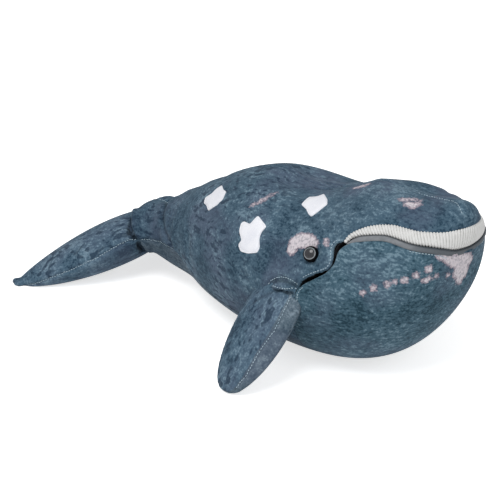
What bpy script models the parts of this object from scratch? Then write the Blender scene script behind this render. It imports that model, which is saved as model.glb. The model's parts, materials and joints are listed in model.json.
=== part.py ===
"""Stuffed right whale: sewn skins over stuffing, with a jaw, flippers, tail stock and flukes
that bend at their seams. +X runs to the snout, +Z is up, and the toy rests on Z = 0."""
import bpy
import bmesh
import math
from mathutils import Matrix, Vector
from mathutils.bvhtree import BVHTree

# Driving sizes, in metres
bodyLength = 0.456        # snout to the end of the tail stock
bodyHeight = 0.194        # top of the head above the floor
bodyHalfWidth = 0.103     # at the widest, just behind the jaw
snoutToOrigin = 0.2663    # the origin lies under the middle of the whole toy

# Cloth and sewing
skinThick = 0.0022        # short-pile plush
liningThick = 0.0012
pipingThick = 0.0028
pipingProud = 0.0006
pipingHeight = 0.0045
patchThick = 0.0008
seamGap = 0.0003          # between pieces that are sewn together
stuffGap = 0.0006         # between the stuffing and its skin
slitGap = 0.0040          # dark gap behind the corner of the mouth
overrun = 0.050           # how far a cutter runs past what it cuts

# Counts
bodySides = 8
limbSides = 6
turnSides = 16
formLevels = 1

# Body sections from tail to snout: place along the length, top, bottom and widest height
# as shares of the height, half width as a share of the widest
cageShare = 1.056         # the cage is this much fuller, since smoothing draws it in
bodyShares = (
    (0.0000, 0.3675, 0.251, 0.31, 0.130),
    (0.0235, 0.437, 0.162, 0.30, 0.270),
    (0.0614, 0.461, 0.132, 0.30, 0.345),
    (0.180, 0.600, 0.060, 0.33, 0.460),
    (0.320, 0.805, 0.020, 0.38, 0.700),
    (0.475, 0.958, -0.024, 0.40, 0.945),
    (0.620, 0.886, -0.026, 0.43, 1.020),
    (0.715, 0.938, -0.018, 0.46, 1.020),
    (0.800, 1.024, 0.025, 0.50, 0.940),
    (0.880, 1.022, 0.150, 0.57, 0.785),
    (0.955, 0.985, 0.400, 0.68, 0.540),
    (0.995, 0.940, 0.640, 0.78, 0.260),
)
# Face between jaw and trunk, from the throat up the slit and along the mouth to the snout:
# place along the length, height, and share of the slit's gap
mouthShares = (
    (0.672, -0.250, 0.0), (0.675, 0.000, 0.0), (0.695, 0.230, 0.0), (0.708, 0.460, 0.0),
    (0.717, 0.535, 0.3), (0.760, 0.618, 0.9), (0.786, 0.675, 1.0), (0.790, 0.755, 1.0),
    (0.815, 0.806, 0.0), (0.862, 0.843, 0.0), (0.908, 0.842, 0.0), (0.968, 0.822, 0.0),
    (1.100, 0.760, 0.0),
)
slitTopPoint = 7          # the slit meets the corner of the mouth here
# Upper edge of the ribbed band, from the corner of the mouth to the snout
bandShares = ((0.806, 0.818), (0.824, 0.858), (0.858, 0.888), (0.900, 0.896),
              (0.940, 0.884), (1.100, 0.888))
# Upper edge of the belly panel, from the tail to the throat
bellyShares = ((-0.100, 0.300), (0.060, 0.285), (0.200, 0.240), (0.400, 0.190), (0.800, 0.180))

# Tail stock: its rounded front turns in the trunk about an upright axis
swayRow = 3               # the body section that the axis goes through
noseShare = 1.036         # the rounded front is drawn in by its smoothing too
noseTurns = (32, 64)      # degrees round the rounded front
swayAngle = 20            # degrees each way
runGap = 0.0005           # clearance of pieces that turn against each other

# Flippers
flipperLength = 0.123
flipperHalfChord = 0.041
flipperHalfThick = 0.0145
flipperGap = 0.00095      # the jaw moves under the flippers
flipperPlaceShares = (0.657, 0.526)   # hinge on the skin: along the body and up
flipperDroop = 49.7         # degrees below the level
flipperSweep = 4          # degrees back
# Place along the span, centre along the chord, half chord and half thickness, as shares
flipperShares = (
    (-0.16, 0.05, 0.60, 0.84), (0.36, 0.02, 1.06, 1.06), (0.78, 0.00, 0.84, 0.82),
    (1.00, -0.02, 0.34, 0.32),
)

# Flukes
flukeSpan = 0.1675
flukeHalfChord = 0.045
flukeHalfThick = 0.025
flukePlaceShares = (0.008, 0.242)     # middle of the root: along the body and up
tiltPlaceShares = (0.061, 0.297)      # hinge in the end of the tail stock
endShare = 0.920                      # smoothing draws the end of the stock in to this
flukeSweep = 23
flukeDroop = 13.5
flukePitch = -14
flukeShares = (
    (-0.06, 0.00, 0.80, 0.86), (0.16, 0.02, 1.00, 1.04), (0.48, 0.04, 1.04, 1.04),
    (0.80, -0.08, 0.70, 0.74), (1.00, -0.26, 0.18, 0.22),
)

# Eyes
eyeRadius = 0.0075
eyeHeight = 0.0048
stemRadius = 0.0020
stemLength = 0.0090
washerRadius = 0.0060
washerThick = 0.0015
eyePlaceShares = (0.725, 0.691)       # along the body and up
eyeLift = 0.0004                      # the flat back clears the curve of the skin
washerDrop = 0.0012                   # so does the washer inside it
rimHeight = 0.0008
boreGap = 0.0002
domeSteps = 6

# White patches on the right side: place as shares along the body and up, then the outline
# along the skin
patchReach = 0.020
patches = {
    "rear": ((0.368, 0.716), (
        (-0.003, 0.014), (0.014, 0.013), (0.018, 0.005), (0.014, -0.004), (0.005, -0.015),
        (-0.014, -0.013), (-0.016, -0.008), (-0.009, 0.001), (-0.007, 0.008))),
    "middle": ((0.548, 0.660), (
        (-0.016, 0.011), (-0.006, 0.010), (-0.004, 0.021), (0.014, 0.015), (0.013, 0.008),
        (0.015, 0.002), (0.019, -0.006), (0.018, -0.012), (0.006, -0.017), (-0.005, -0.018),
        (-0.012, -0.013), (-0.008, -0.008), (-0.016, 0.000), (-0.019, 0.008))),
    "front": ((0.657, 0.840), (
        (-0.019, 0.008), (-0.010, 0.011), (-0.006, 0.017), (0.006, 0.012), (0.013, 0.006),
        (0.014, -0.007), (0.011, -0.015), (0.005, -0.014), (-0.002, -0.010),
        (-0.012, -0.007))),
}

parts = bpy.data.collections.new("plush_whale")
cutters = bpy.data.collections.new("cutters")


def clearScene():
    for obj in list(bpy.data.objects):
        bpy.data.objects.remove(obj, do_unlink=True)
    for group in (parts, cutters):
        bpy.context.scene.collection.children.link(group)


def material(name, colour, roughness):
    made = bpy.data.materials.get(name) or bpy.data.materials.new(name)
    made.use_nodes = True
    shader = made.node_tree.nodes["Principled BSDF"]
    shader.inputs["Base Color"].default_value = (*colour, 1)
    shader.inputs["Roughness"].default_value = roughness
    return made


plush = material("slate_plush", (0.075, 0.120, 0.160), 0.9)
bellyPlush = material("grey_plush", (0.110, 0.140, 0.180), 0.9)
lining = material("black_lining", (0.008, 0.008, 0.010), 0.9)
ribbed = material("ribbed_cloth", (0.62, 0.62, 0.60), 0.9)
piping = material("lip_piping", (0.095, 0.110, 0.120), 0.8)
white = material("white_patch", (0.83, 0.84, 0.87), 0.9)
fill = material("polyester_fill", (0.80, 0.80, 0.78), 1.0)
eyePlastic = material("eye_plastic", (0.010, 0.009, 0.009), 0.1)
washerPlastic = material("washer_plastic", (0.60, 0.60, 0.58), 0.5)


def alongBody(share):
    return snoutToOrigin + (share - 1) * bodyLength


def onBody(shares):
    """Place forward and up, from shares along the body and of its height."""
    along, up = shares
    return alongBody(along), up * bodyHeight


def keep(name, mesh, finish=None):
    """An object in the parts, or among the cutters where it has no finish."""
    obj = bpy.data.objects.new(name, mesh)
    if finish:
        parts.objects.link(obj)
        mesh.materials.append(finish)
    else:
        cutters.objects.link(obj)
        obj.hide_render = True
        obj.display_type = "WIRE"
    mesh.shade_smooth()
    return obj


def meshOf(name, bm):
    bmesh.ops.recalc_face_normals(bm, faces=bm.faces)
    mesh = bpy.data.meshes.new(name)
    bm.to_mesh(mesh)
    bm.free()
    return mesh


def loft(name, rings):
    """Closed skin through rings of points, each ring a list of equal length."""
    bm = bmesh.new()
    loops = []
    for ring in rings:
        made = bmesh.ops.create_circle(bm, segments=len(ring), radius=1)["verts"]
        for vert, place in zip(made, ring):
            vert.co = place
        loops.append([edge for edge in bm.edges if edge.verts[0] in made])
    for low, high in zip(loops, loops[1:]):
        bmesh.ops.bridge_loops(bm, edges=low + high)
    bmesh.ops.contextual_create(bm, geom=loops[0])
    bmesh.ops.contextual_create(bm, geom=loops[-1])
    return meshOf(name, bm)


def prism(name, outline, reach, place=Matrix()):
    """Outline in X and Z, extruded along Y by reach each way, then placed."""
    bm = bmesh.new()
    corners = [bm.verts.new((x, -reach, z)) for x, z in outline]
    face = bm.faces.new(corners)
    side = bmesh.ops.extrude_face_region(bm, geom=[face])["geom"]
    moved = [item for item in side if isinstance(item, bmesh.types.BMVert)]
    bmesh.ops.translate(bm, verts=moved, vec=(0, 2 * reach, 0))
    bmesh.ops.transform(bm, matrix=place, verts=bm.verts)
    return meshOf(name, bm)


def box(name, low, high, place=Matrix()):
    bm = bmesh.new()
    middle = (Vector(low) + Vector(high)) / 2
    size = Vector(high) - Vector(low)
    at = place @ Matrix.Translation(middle) @ Matrix.Diagonal((*size, 1))
    bmesh.ops.create_cube(bm, size=1, matrix=at)
    return meshOf(name, bm)


def ball(name, middle, radii):
    bm = bmesh.new()
    at = Matrix.Translation(middle) @ Matrix.Diagonal((*radii, 1))
    bmesh.ops.create_uvsphere(
        bm, u_segments=turnSides, v_segments=turnSides // 2, radius=1, matrix=at)
    return meshOf(name, bm)


def smooth(obj):
    step = obj.modifiers.new("form", "SUBSURF")
    step.levels = step.render_levels = formLevels


def shift(obj, distance):
    step = obj.modifiers.new("shift", "DISPLACE")
    step.strength = distance
    step.mid_level = 0


def shell(obj, thick):
    step = obj.modifiers.new("cloth", "SOLIDIFY")
    step.thickness = thick
    step.offset = -1


def cut(obj, other, operation="DIFFERENCE"):
    step = obj.modifiers.new(other.name, "BOOLEAN")
    step.operation = operation
    step.solver = "MANIFOLD"    # the exact solver drops some of these thin shells
    step.object = other


def offsetLine(points, distances):
    """The line moved to its left by a distance for each point, with mitred corners."""
    moved = []
    for i, point in enumerate(points):
        before = points[max(i - 1, 0)]
        after = points[min(i + 1, len(points) - 1)]
        normals = []
        for a, b in ((before, point), (point, after)):
            run = Vector((b[0] - a[0], b[1] - a[1]))
            if run.length:
                normals.append(Vector((-run.y, run.x)).normalized())
        mitre = (normals[0] + normals[-1]).normalized()
        reach = distances[i] / mitre.dot(normals[0])
        moved.append((point[0] + mitre.x * reach, point[1] + mitre.y * reach))
    return moved


def bodyRing(share, top, bottom, widest, width):
    x = alongBody(share)
    ring = []
    for i in range(bodySides):
        turn = 2 * math.pi * (i + 0.5) / bodySides
        end = top if math.sin(turn) > 0 else bottom
        level = widest + abs(math.sin(turn)) * (end - widest) * cageShare
        out = width * math.cos(turn) * cageShare
        ring.append((x, out * bodyHalfWidth, level * bodyHeight))
    return ring


def bodyForm():
    return loft("body_form", [bodyRing(*shares) for shares in bodyShares])


def limbForm(name, shares, length, halfChord, halfThick):
    """Flat limb along -Y, with its chord along X."""
    rings = []
    for along, centre, chord, thick in shares:
        ring = []
        for i in range(limbSides):
            turn = 2 * math.pi * (i + 0.5) / limbSides
            x = (centre + chord * math.cos(turn)) * halfChord
            ring.append((x, -along * length, thick * halfThick * math.sin(turn)))
        rings.append(ring)
    return loft(name, rings)


def rightSide(form, x, z):
    """Point and outward normal on the right side of a closed form, facing -Y."""
    graph = bpy.context.evaluated_depsgraph_get()
    tree = BVHTree.FromObject(form, graph)
    place, normal, _, _ = tree.ray_cast(Vector((x, 0, z)), Vector((0, -1, 0)))
    return place, normal


def frameAt(place, normal):
    """Axes with Y into the surface, X level along it, and Z up along it."""
    y = -normal.normalized()
    x = y.cross(Vector((0, 0, 1))).normalized()
    z = x.cross(y)
    return Matrix.Translation(place) @ Matrix((x, y, z)).transposed().to_4x4()


def turned(name, profile, finish, place, closed=False):
    """Profile of radius and height, turned about its Z axis and placed."""
    bm = bmesh.new()
    verts = [bm.verts.new((radius, 0, height)) for radius, height in profile]
    if closed:
        verts.append(verts[0])
    for a, b in zip(verts, verts[1:]):
        bm.edges.new((a, b))
    mesh = bpy.data.meshes.new(name)
    bm.to_mesh(mesh)
    bm.free()
    obj = keep(name, mesh, finish)
    obj.matrix_world = place
    step = obj.modifiers.new("turn", "SCREW")
    step.steps = step.render_steps = turnSides
    step.use_merge_vertices = True
    step.merge_threshold = seamGap / 10
    return obj


def rod(name, radius, low, high, place):
    bm = bmesh.new()
    at = place @ Matrix.Translation((0, 0, (low + high) / 2))
    bmesh.ops.create_cone(bm, cap_ends=True, segments=turnSides, radius1=radius,
                          radius2=radius, depth=high - low, matrix=at)
    return keep(name, meshOf(name, bm))


def mirrored(mesh, name):
    bm = bmesh.new()
    bm.from_mesh(mesh)
    bmesh.ops.scale(bm, vec=(1, -1, 1), verts=bm.verts)
    return meshOf(name, bm)


def turnedAbout(point, axis, degrees):
    shiftTo = Matrix.Translation(point)
    return shiftTo @ Matrix.Rotation(math.radians(degrees), 4, axis) @ shiftTo.inverted()


def bodyPiece(name, mesh, finish, proud, thick=None):
    """The body's form standing proud of its skin, hollow if it is given a wall."""
    obj = keep(name, mesh.copy(), finish)
    smooth(obj)
    if proud:
        shift(obj, proud)
    if thick:
        shell(obj, thick)
    return obj


def region(name, line, corner):
    return keep(name, prism(name, line + [corner], bodyHalfWidth + overrun))


clearScene()

# The body's form, and the lines that part its pieces
bodyMesh = bodyForm()
bodyShape = keep("body_shape", bodyMesh.copy())
smooth(bodyShape)
bpy.context.view_layer.update()

mouthLine = [(alongBody(share), level * bodyHeight) for share, level, _ in mouthShares]
gapLine = [seamGap + share * slitGap for _, _, share in mouthShares]
front = mouthLine[-1][0]
below = mouthLine[0][1]
lowFront = (front, below)
trunkFace = offsetLine(mouthLine, gapLine)
trunkInner = offsetLine(mouthLine, [gap + liningThick + seamGap for gap in gapLine])
trunkLiningTop = offsetLine(mouthLine, [gap + liningThick for gap in gapLine])
jawLiningLow = offsetLine(mouthLine, [-liningThick for _ in gapLine])
jawInner = offsetLine(mouthLine, [-liningThick - seamGap for _ in gapLine])
bandTop = [(alongBody(share), level * bodyHeight) for share, level in bandShares]
bandSkinEdge = offsetLine(bandTop, [seamGap] * len(bandTop))
pipingLow = offsetLine(mouthLine, [-pipingHeight for _ in gapLine])
pipingSkinEdge = offsetLine(mouthLine, [-pipingHeight - seamGap for _ in gapLine])
bellyTop = [(alongBody(share), level * bodyHeight) for share, level in bellyShares]
bellySkinEdge = offsetLine(bellyTop, [seamGap] * len(bellyTop))

jawRegion = region("jaw_region", mouthLine, lowFront)
jawInnerRegion = region("jaw_inner_region", jawInner, lowFront)
jawSkinRegion = region(
    "jaw_skin_region", mouthLine[:slitTopPoint] + pipingSkinEdge[slitTopPoint:], lowFront
)
trunkSkinCut = region("trunk_skin_cut", trunkFace[:slitTopPoint + 1] + bandSkinEdge, lowFront)
trunkInnerCut = region("trunk_inner_cut", trunkInner, lowFront)
jawLiningRegion = keep("jaw_lining_region", prism(
    "jaw_lining_region", mouthLine + jawLiningLow[::-1], bodyHalfWidth + overrun))
trunkLiningRegion = keep("trunk_lining_region", prism(
    "trunk_lining_region", trunkLiningTop + trunkFace[::-1], bodyHalfWidth + overrun))
bandRegion = keep("band_region", prism(
    "band_region", bandTop + trunkFace[slitTopPoint + 1:][::-1], bodyHalfWidth + overrun))
pipingRegion = keep("piping_region", prism(
    "piping_region", mouthLine[slitTopPoint:] + pipingLow[slitTopPoint:][::-1],
    bodyHalfWidth + overrun))
deep = (bellyTop[-1][0], below)
deepTail = (bellyTop[0][0], below)
bellyRegion = keep("belly_region", prism(
    "belly_region", bellyTop + [deep, deepTail], bodyHalfWidth + overrun))
backCut = keep("back_cut", prism(
    "back_cut", bellySkinEdge + [deep, deepTail], bodyHalfWidth + overrun))
reach = bodyLength + overrun
floorCut = keep("floor_cut", box("floor_cut", (-reach, -reach, -overrun), (reach, reach, 0)))
rightHalf = keep("right_half", box(
    "right_half", (-reach, -reach, -reach), (reach, -seamGap / 2, reach)))
leftHalf = keep("left_half", box(
    "left_half", (-reach, seamGap / 2, -reach), (reach, reach, reach)))

# Tail stock: the body's own sections behind the axis, and a rounded front
stockRings = [bodyRing(*shares) for shares in bodyShares[:swayRow + 1]]
swayX = alongBody(bodyShares[swayRow][0])
swayTop, swayBottom, _, swayWidth = bodyShares[swayRow][1:]
swayZ = (swayTop + swayBottom) / 2 * bodyHeight
for turn in noseTurns:
    ahead = swayWidth * bodyHalfWidth * math.sin(math.radians(turn)) * noseShare
    shrink = math.cos(math.radians(turn)) * noseShare
    stockRings.append([
        (swayX + ahead, y * shrink, swayZ + (z - swayZ) * shrink) for _, y, z in stockRings[swayRow]
    ])
stockMesh = loft("stock_form", stockRings)
swayPoint = Vector((swayX, 0, swayZ))
socket = keep("socket", ball("socket", swayPoint, (
    swayWidth * bodyHalfWidth + runGap, swayWidth * bodyHalfWidth + runGap,
    (swayTop - swayBottom) / 2 * bodyHeight + runGap)))
tailCuts = [socket]
for name, degrees in (("tail_end_right", -swayAngle), ("tail_end_left", swayAngle)):
    behind = turnedAbout(swayPoint, "Z", degrees) @ Matrix.Translation(swayPoint)
    tailCuts.append(keep(name, box(name, (-reach, -reach, -reach), (0, reach, reach), behind)))

# Trunk
for side, half in (("right", rightHalf), ("left", leftHalf)):
    back = bodyPiece(f"back_panel_{side}", bodyMesh, plush, 0, skinThick)
    cut(back, half, "INTERSECT")
    for cutter in (trunkSkinCut, backCut, *tailCuts):
        cut(back, cutter)
belly = bodyPiece("belly_panel", bodyMesh, bellyPlush, 0, skinThick)
cut(belly, bellyRegion, "INTERSECT")
for cutter in (trunkSkinCut, *tailCuts, floorCut):
    cut(belly, cutter)
inside = skinThick + stuffGap
trunkFill = bodyPiece("trunk_stuffing", bodyMesh, fill, -inside)
for cutter in (trunkInnerCut, *tailCuts):
    cut(trunkFill, cutter)
roof = bodyPiece("mouth_lining_upper", bodyMesh, lining, -inside)
cut(roof, trunkLiningRegion, "INTERSECT")
band = bodyPiece("baleen_band", bodyMesh, ribbed, 0, skinThick)
cut(band, bandRegion, "INTERSECT")

# Jaw
jaw = bodyPiece("jaw_skin", bodyMesh, plush, 0, skinThick)
cut(jaw, jawSkinRegion, "INTERSECT")
cut(jaw, floorCut)
jawFill = bodyPiece("jaw_stuffing", bodyMesh, fill, -inside)
cut(jawFill, jawInnerRegion, "INTERSECT")
floorOfMouth = bodyPiece("mouth_lining_lower", bodyMesh, lining, -inside)
cut(floorOfMouth, jawLiningRegion, "INTERSECT")
lip = bodyPiece("lip_piping", bodyMesh, piping, pipingProud, pipingThick)
cut(lip, pipingRegion, "INTERSECT")

# Tail stock
stockBack = bodyPiece("tail_stock_back", stockMesh, plush, 0, skinThick)
cut(stockBack, backCut)
stockBelly = bodyPiece("tail_stock_belly", stockMesh, bellyPlush, 0, skinThick)
cut(stockBelly, bellyRegion, "INTERSECT")
bodyPiece("tail_stock_stuffing", stockMesh, fill, -inside)


# Flippers: each hangs from a hinge on the skin, along the top edge of its root
flipperMesh = limbForm(
    "flipper_form", flipperShares, flipperLength, flipperHalfChord, flipperHalfThick)
around = bodyPiece("body_around", bodyMesh, None, flipperGap)
hingePoint, hingeNormal = rightSide(bodyShape, *onBody(flipperPlaceShares))
level = Vector((hingeNormal.x, hingeNormal.y, 0)).normalized()
hingePoint += level * flipperGap
turnOut = math.atan2(level.x, -level.y)
flipperTurn = (
    Matrix.Rotation(turnOut - math.radians(flipperSweep), 4, "Z")
    @ Matrix.Rotation(math.radians(flipperDroop), 4, "X")
)
flipperFrame = (
    Matrix.Translation(hingePoint) @ flipperTurn
    @ Matrix.Translation((0, 0, -flipperHalfThick))
)
top = box("upper_half", (-reach, -reach, seamGap / 2), (reach, reach, reach))
bottom = box("lower_half", (-reach, -reach, -reach), (reach, reach, -seamGap / 2))
for side in ("right", "left"):
    for part, half, finish in (("upper", top, plush), ("lower", bottom, plush),
                               ("stuffing", None, fill)):
        name = f"flipper_{side}_{part}"
        form = flipperMesh.copy()
        form.transform(flipperFrame)
        if side == "left":
            form = mirrored(form, name)
        if half:
            piece = bodyPiece(name, form, finish, 0, skinThick)
            halfMesh = half.copy()
            halfMesh.transform(flipperFrame)
            if side == "left":
                halfMesh = mirrored(halfMesh, name + "_half")
            cut(piece, keep(name + "_half", halfMesh), "INTERSECT")
        else:
            piece = bodyPiece(name, form, finish, -inside)
        cut(piece, around)

# Flukes: two lobes in one skin, tilting about a level axis in the end of the tail stock
lobeMesh = limbForm("lobe_form", flukeShares, flukeSpan, flukeHalfChord, flukeHalfThick)
flukeX, flukeZ = onBody(flukePlaceShares)
flukeFrame = (
    Matrix.Translation((flukeX, 0, flukeZ))
    @ Matrix.Rotation(math.radians(-flukeSweep), 4, "Z")
    @ Matrix.Rotation(math.radians(flukeDroop), 4, "X")
    @ Matrix.Rotation(math.radians(flukePitch), 4, "Y")
)
rightLobe = lobeMesh.copy()
rightLobe.transform(flukeFrame)
leftLobe = mirrored(rightLobe, "left_lobe_form")
tiltX, tiltZ = onBody(tiltPlaceShares)
tiltPoint = Vector((tiltX, 0, tiltZ))
across = Matrix.Translation(tiltPoint) @ Matrix.Rotation(math.pi / 2, 4, "X")
endReach = max(
    math.hypot(x - tiltX, z - tiltZ) for ring in stockRings[:swayRow] for x, _, z in ring)
endWidth = max(y for _, y, _ in stockRings[swayRow - 1])
hollow = rod(
    "lobe_hollow", endReach * endShare + runGap, -endWidth - runGap, endWidth + runGap, across)
for side, half in (("right", rightHalf), ("left", leftHalf)):
    for part, split, finish in (("upper", top, plush), ("lower", bottom, bellyPlush),
                                ("stuffing", None, fill)):
        name = f"fluke_{side}_{part}"
        form = (rightLobe if side == "right" else leftLobe).copy()
        if split:
            piece = bodyPiece(name, form, finish, 0, skinThick)
            splitMesh = split.copy()
            splitMesh.transform(flukeFrame)
            if side == "left":
                splitMesh = mirrored(splitMesh, name + "_half")
            cut(piece, keep(name + "_half", splitMesh), "INTERSECT")
        else:
            piece = bodyPiece(name, form, finish, -inside)
        cut(piece, half, "INTERSECT")
        cut(piece, hollow)

# Eyes: each dome's stem goes through the skin to a washer that locks it
eyePoint, eyeNormal = rightSide(bodyShape, *onBody(eyePlaceShares))
for side in ("right", "left"):
    flip = 1 if side == "right" else -1
    point = Vector((eyePoint.x, eyePoint.y * flip, eyePoint.z))
    normal = Vector((eyeNormal.x, eyeNormal.y * flip, eyeNormal.z))
    eyeFrame = Matrix.Translation(point) @ normal.to_track_quat("Z", "Y").to_matrix().to_4x4()
    base = eyeLift + seamGap
    dome = [(eyeRadius * math.sin(math.pi / 2 * i / domeSteps),
             base + rimHeight + eyeHeight * math.cos(math.pi / 2 * i / domeSteps))
            for i in range(domeSteps + 1)]
    shank = [(eyeRadius, base), (stemRadius, base), (stemRadius, -stemLength), (0, -stemLength)]
    turned(f"eye_{side}", dome + shank, eyePlastic, eyeFrame)
    washerTop = -inside - washerDrop
    washerLow = washerTop - washerThick
    bore = stemRadius + boreGap
    turned(f"eye_washer_{side}", [
        (bore, washerTop), (washerRadius, washerTop), (washerRadius, washerLow),
        (bore, washerLow)], washerPlastic, eyeFrame, closed=True)
    hole = rod(f"eye_hole_{side}", bore, -stemLength, stemLength, eyeFrame)
    cut(parts.objects[f"back_panel_{side}"], hole)
    pocket = rod(f"eye_pocket_{side}", washerRadius + seamGap, -stemLength - seamGap,
                 stemLength, eyeFrame)
    cut(trunkFill, pocket)

# White patches, sewn on the right side
for name, (place, outline) in patches.items():
    patchFrame = frameAt(*rightSide(bodyShape, *onBody(place)))
    patch = bodyPiece(f"white_patch_{name}", bodyMesh, white, seamGap + patchThick, patchThick)
    edge = keep(f"patch_edge_{name}", prism(f"patch_edge_{name}", outline, patchReach, patchFrame))
    cut(patch, edge, "INTERSECT")

# Each moving piece has its origin on its hinge
hingeLeft = Vector((hingePoint.x, -hingePoint.y, hingePoint.z))
jawPoint = Vector((mouthLine[1][0], 0, 0))
hinges = {
    "jaw": jawPoint, "lip": jawPoint, "mouth_lining_lower": jawPoint,
    "flipper_right": hingePoint, "flipper_left": hingeLeft,
    "tail_stock": swayPoint, "fluke": tiltPoint,
}
for obj in parts.objects:
    for start, point in hinges.items():
        if obj.name.startswith(start):
            obj.data.transform(Matrix.Translation(-point))
            obj.location = point
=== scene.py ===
import bpy
import bmesh
import json
import math
import numpy as np
from functools import partial
from mathutils import Matrix, Vector
from mathutils.bvhtree import BVHTree

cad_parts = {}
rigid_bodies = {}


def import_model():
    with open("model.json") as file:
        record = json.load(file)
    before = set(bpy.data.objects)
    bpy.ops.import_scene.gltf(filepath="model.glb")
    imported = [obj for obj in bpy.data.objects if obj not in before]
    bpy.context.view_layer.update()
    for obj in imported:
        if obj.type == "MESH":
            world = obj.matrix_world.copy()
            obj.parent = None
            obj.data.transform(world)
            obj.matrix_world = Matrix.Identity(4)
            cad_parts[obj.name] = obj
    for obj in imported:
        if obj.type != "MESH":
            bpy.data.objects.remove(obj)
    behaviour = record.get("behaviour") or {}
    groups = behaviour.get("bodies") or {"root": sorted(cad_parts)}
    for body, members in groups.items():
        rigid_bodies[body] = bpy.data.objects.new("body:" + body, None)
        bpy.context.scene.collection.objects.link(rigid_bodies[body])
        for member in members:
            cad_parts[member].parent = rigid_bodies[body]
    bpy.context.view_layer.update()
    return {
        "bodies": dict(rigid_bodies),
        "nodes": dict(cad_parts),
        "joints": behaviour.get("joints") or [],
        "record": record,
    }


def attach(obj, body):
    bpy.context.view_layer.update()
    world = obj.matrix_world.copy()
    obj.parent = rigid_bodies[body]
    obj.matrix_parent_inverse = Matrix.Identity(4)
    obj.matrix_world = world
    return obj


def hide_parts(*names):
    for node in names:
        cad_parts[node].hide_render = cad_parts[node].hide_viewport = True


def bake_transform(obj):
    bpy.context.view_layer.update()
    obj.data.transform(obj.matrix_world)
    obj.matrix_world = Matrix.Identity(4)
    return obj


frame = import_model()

mm = 0.001
pieces = bpy.data.collections.new("plush_whale_looks")
bpy.context.scene.collection.children.link(pieces)


def linear(hexColour):
    parts = [int(hexColour[i:i + 2], 16) / 255 for i in (1, 3, 5)]
    parts = [c / 12.92 if c <= 0.04045 else ((c + 0.055) / 1.055) ** 2.4 for c in parts]
    return (*parts, 1)


def metres(points):
    return [tuple(v * mm for v in point) for point in points]


def toPiece(name, bm, finish=None, smooth=True):
    mesh = bpy.data.meshes.new(name)
    bm.to_mesh(mesh)
    bm.free()
    piece = bpy.data.objects.new(name, mesh)
    pieces.objects.link(piece)
    mesh.polygons.foreach_set("use_smooth", [smooth] * len(mesh.polygons))
    if finish:
        mesh.materials.append(finish)
    return piece


def toBmesh(piece):
    bm = bmesh.new()
    bm.from_mesh(piece.data)
    return bm


def applyAll(piece):
    graph = bpy.context.evaluated_depsgraph_get()
    mesh = bpy.data.meshes.new_from_object(piece.evaluated_get(graph))
    piece.modifiers.clear()
    old = piece.data
    piece.data = mesh
    bpy.data.meshes.remove(old)
    mesh.name = piece.name


def subdivide(piece, levels):
    step = piece.modifiers.new("form", "SUBSURF")
    step.levels = step.render_levels = levels
    applyAll(piece)


def placesOf(piece):
    count = len(piece.data.vertices)
    places, normals = np.empty(count * 3), np.empty(count * 3)
    piece.data.vertices.foreach_get("co", places)
    piece.data.vertices.foreach_get("normal", normals)
    return places.reshape(-1, 3), normals.reshape(-1, 3)


def setPlaces(piece, places):
    piece.data.vertices.foreach_set("co", places.ravel())
    piece.data.update()


def loft(rings, closed=True, capped=True):
    bm = bmesh.new()
    loops = []
    for ring in rings:
        made = bmesh.ops.create_circle(bm, segments=len(ring), radius=1)["verts"]
        for vert, place in zip(made, ring):
            vert.co = place
        links = {edge for vert in made for edge in vert.link_edges}
        if not closed:
            last = [edge for edge in links if made[0] in edge.verts and made[-1] in edge.verts]
            bmesh.ops.delete(bm, geom=last, context="EDGES")
            links -= set(last)
        loops.append(list(links))
    for low, high in zip(loops, loops[1:]):
        bmesh.ops.bridge_loops(bm, edges=low + high)
    if closed and capped:
        for loop in (loops[0], loops[-1]):
            bmesh.ops.contextual_create(bm, geom=loop)
        bmesh.ops.recalc_face_normals(bm, faces=bm.faces)
    return bm


def runOf(points):
    return np.concatenate(([0], np.cumsum(np.linalg.norm(np.diff(points, axis=0), axis=1))))


def evenly(points, count):
    points = np.array(points, float)
    run = runOf(points)
    at = np.linspace(0, run[-1], count)
    return np.stack([np.interp(at, run, points[:, i]) for i in range(points.shape[1])], 1)


def resampled(points, step):
    return evenly(points, max(2, int(round(runOf(np.array(points, float))[-1] / step)) + 1))


def rounded(points, step, passes=3):
    points = resampled(points, step)
    for _ in range(passes):
        points[1:-1] = (points[:-2] + 2 * points[1:-1] + points[2:]) / 4
    return points


def offsetLine(points, distance):
    points = np.array(points, float)
    run = np.gradient(points, axis=0)
    left = np.stack((-run[:, 1], run[:, 0]), 1)
    left /= np.linalg.norm(left, axis=1)[:, None]
    return points + left * np.reshape(distance, (-1, 1))


def distanceTo(line, places):
    best = np.full(len(places), 1e9)
    at = np.zeros(len(places))
    run = 0
    for a, b in zip(line, line[1:]):
        along = b - a
        length = np.linalg.norm(along)
        if length < 1e-9:
            continue
        t = np.clip(((places - a) @ along) / length ** 2, 0, 1)
        gap = np.linalg.norm(places - (a + t[:, None] * along), axis=1)
        nearer = gap < best
        best[nearer] = gap[nearer]
        at[nearer] = run + t[nearer] * length
        run += length
    return best, at


def hill(gap, width):
    return np.exp(-(gap / width) ** 2)


def hillAt(places, x, y, z, reach):
    # 1 at the place and 0 far from it, with everything but places in mm
    return hill(np.linalg.norm(places - np.array((x, y, z)) * mm, axis=1), reach * mm)


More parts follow.
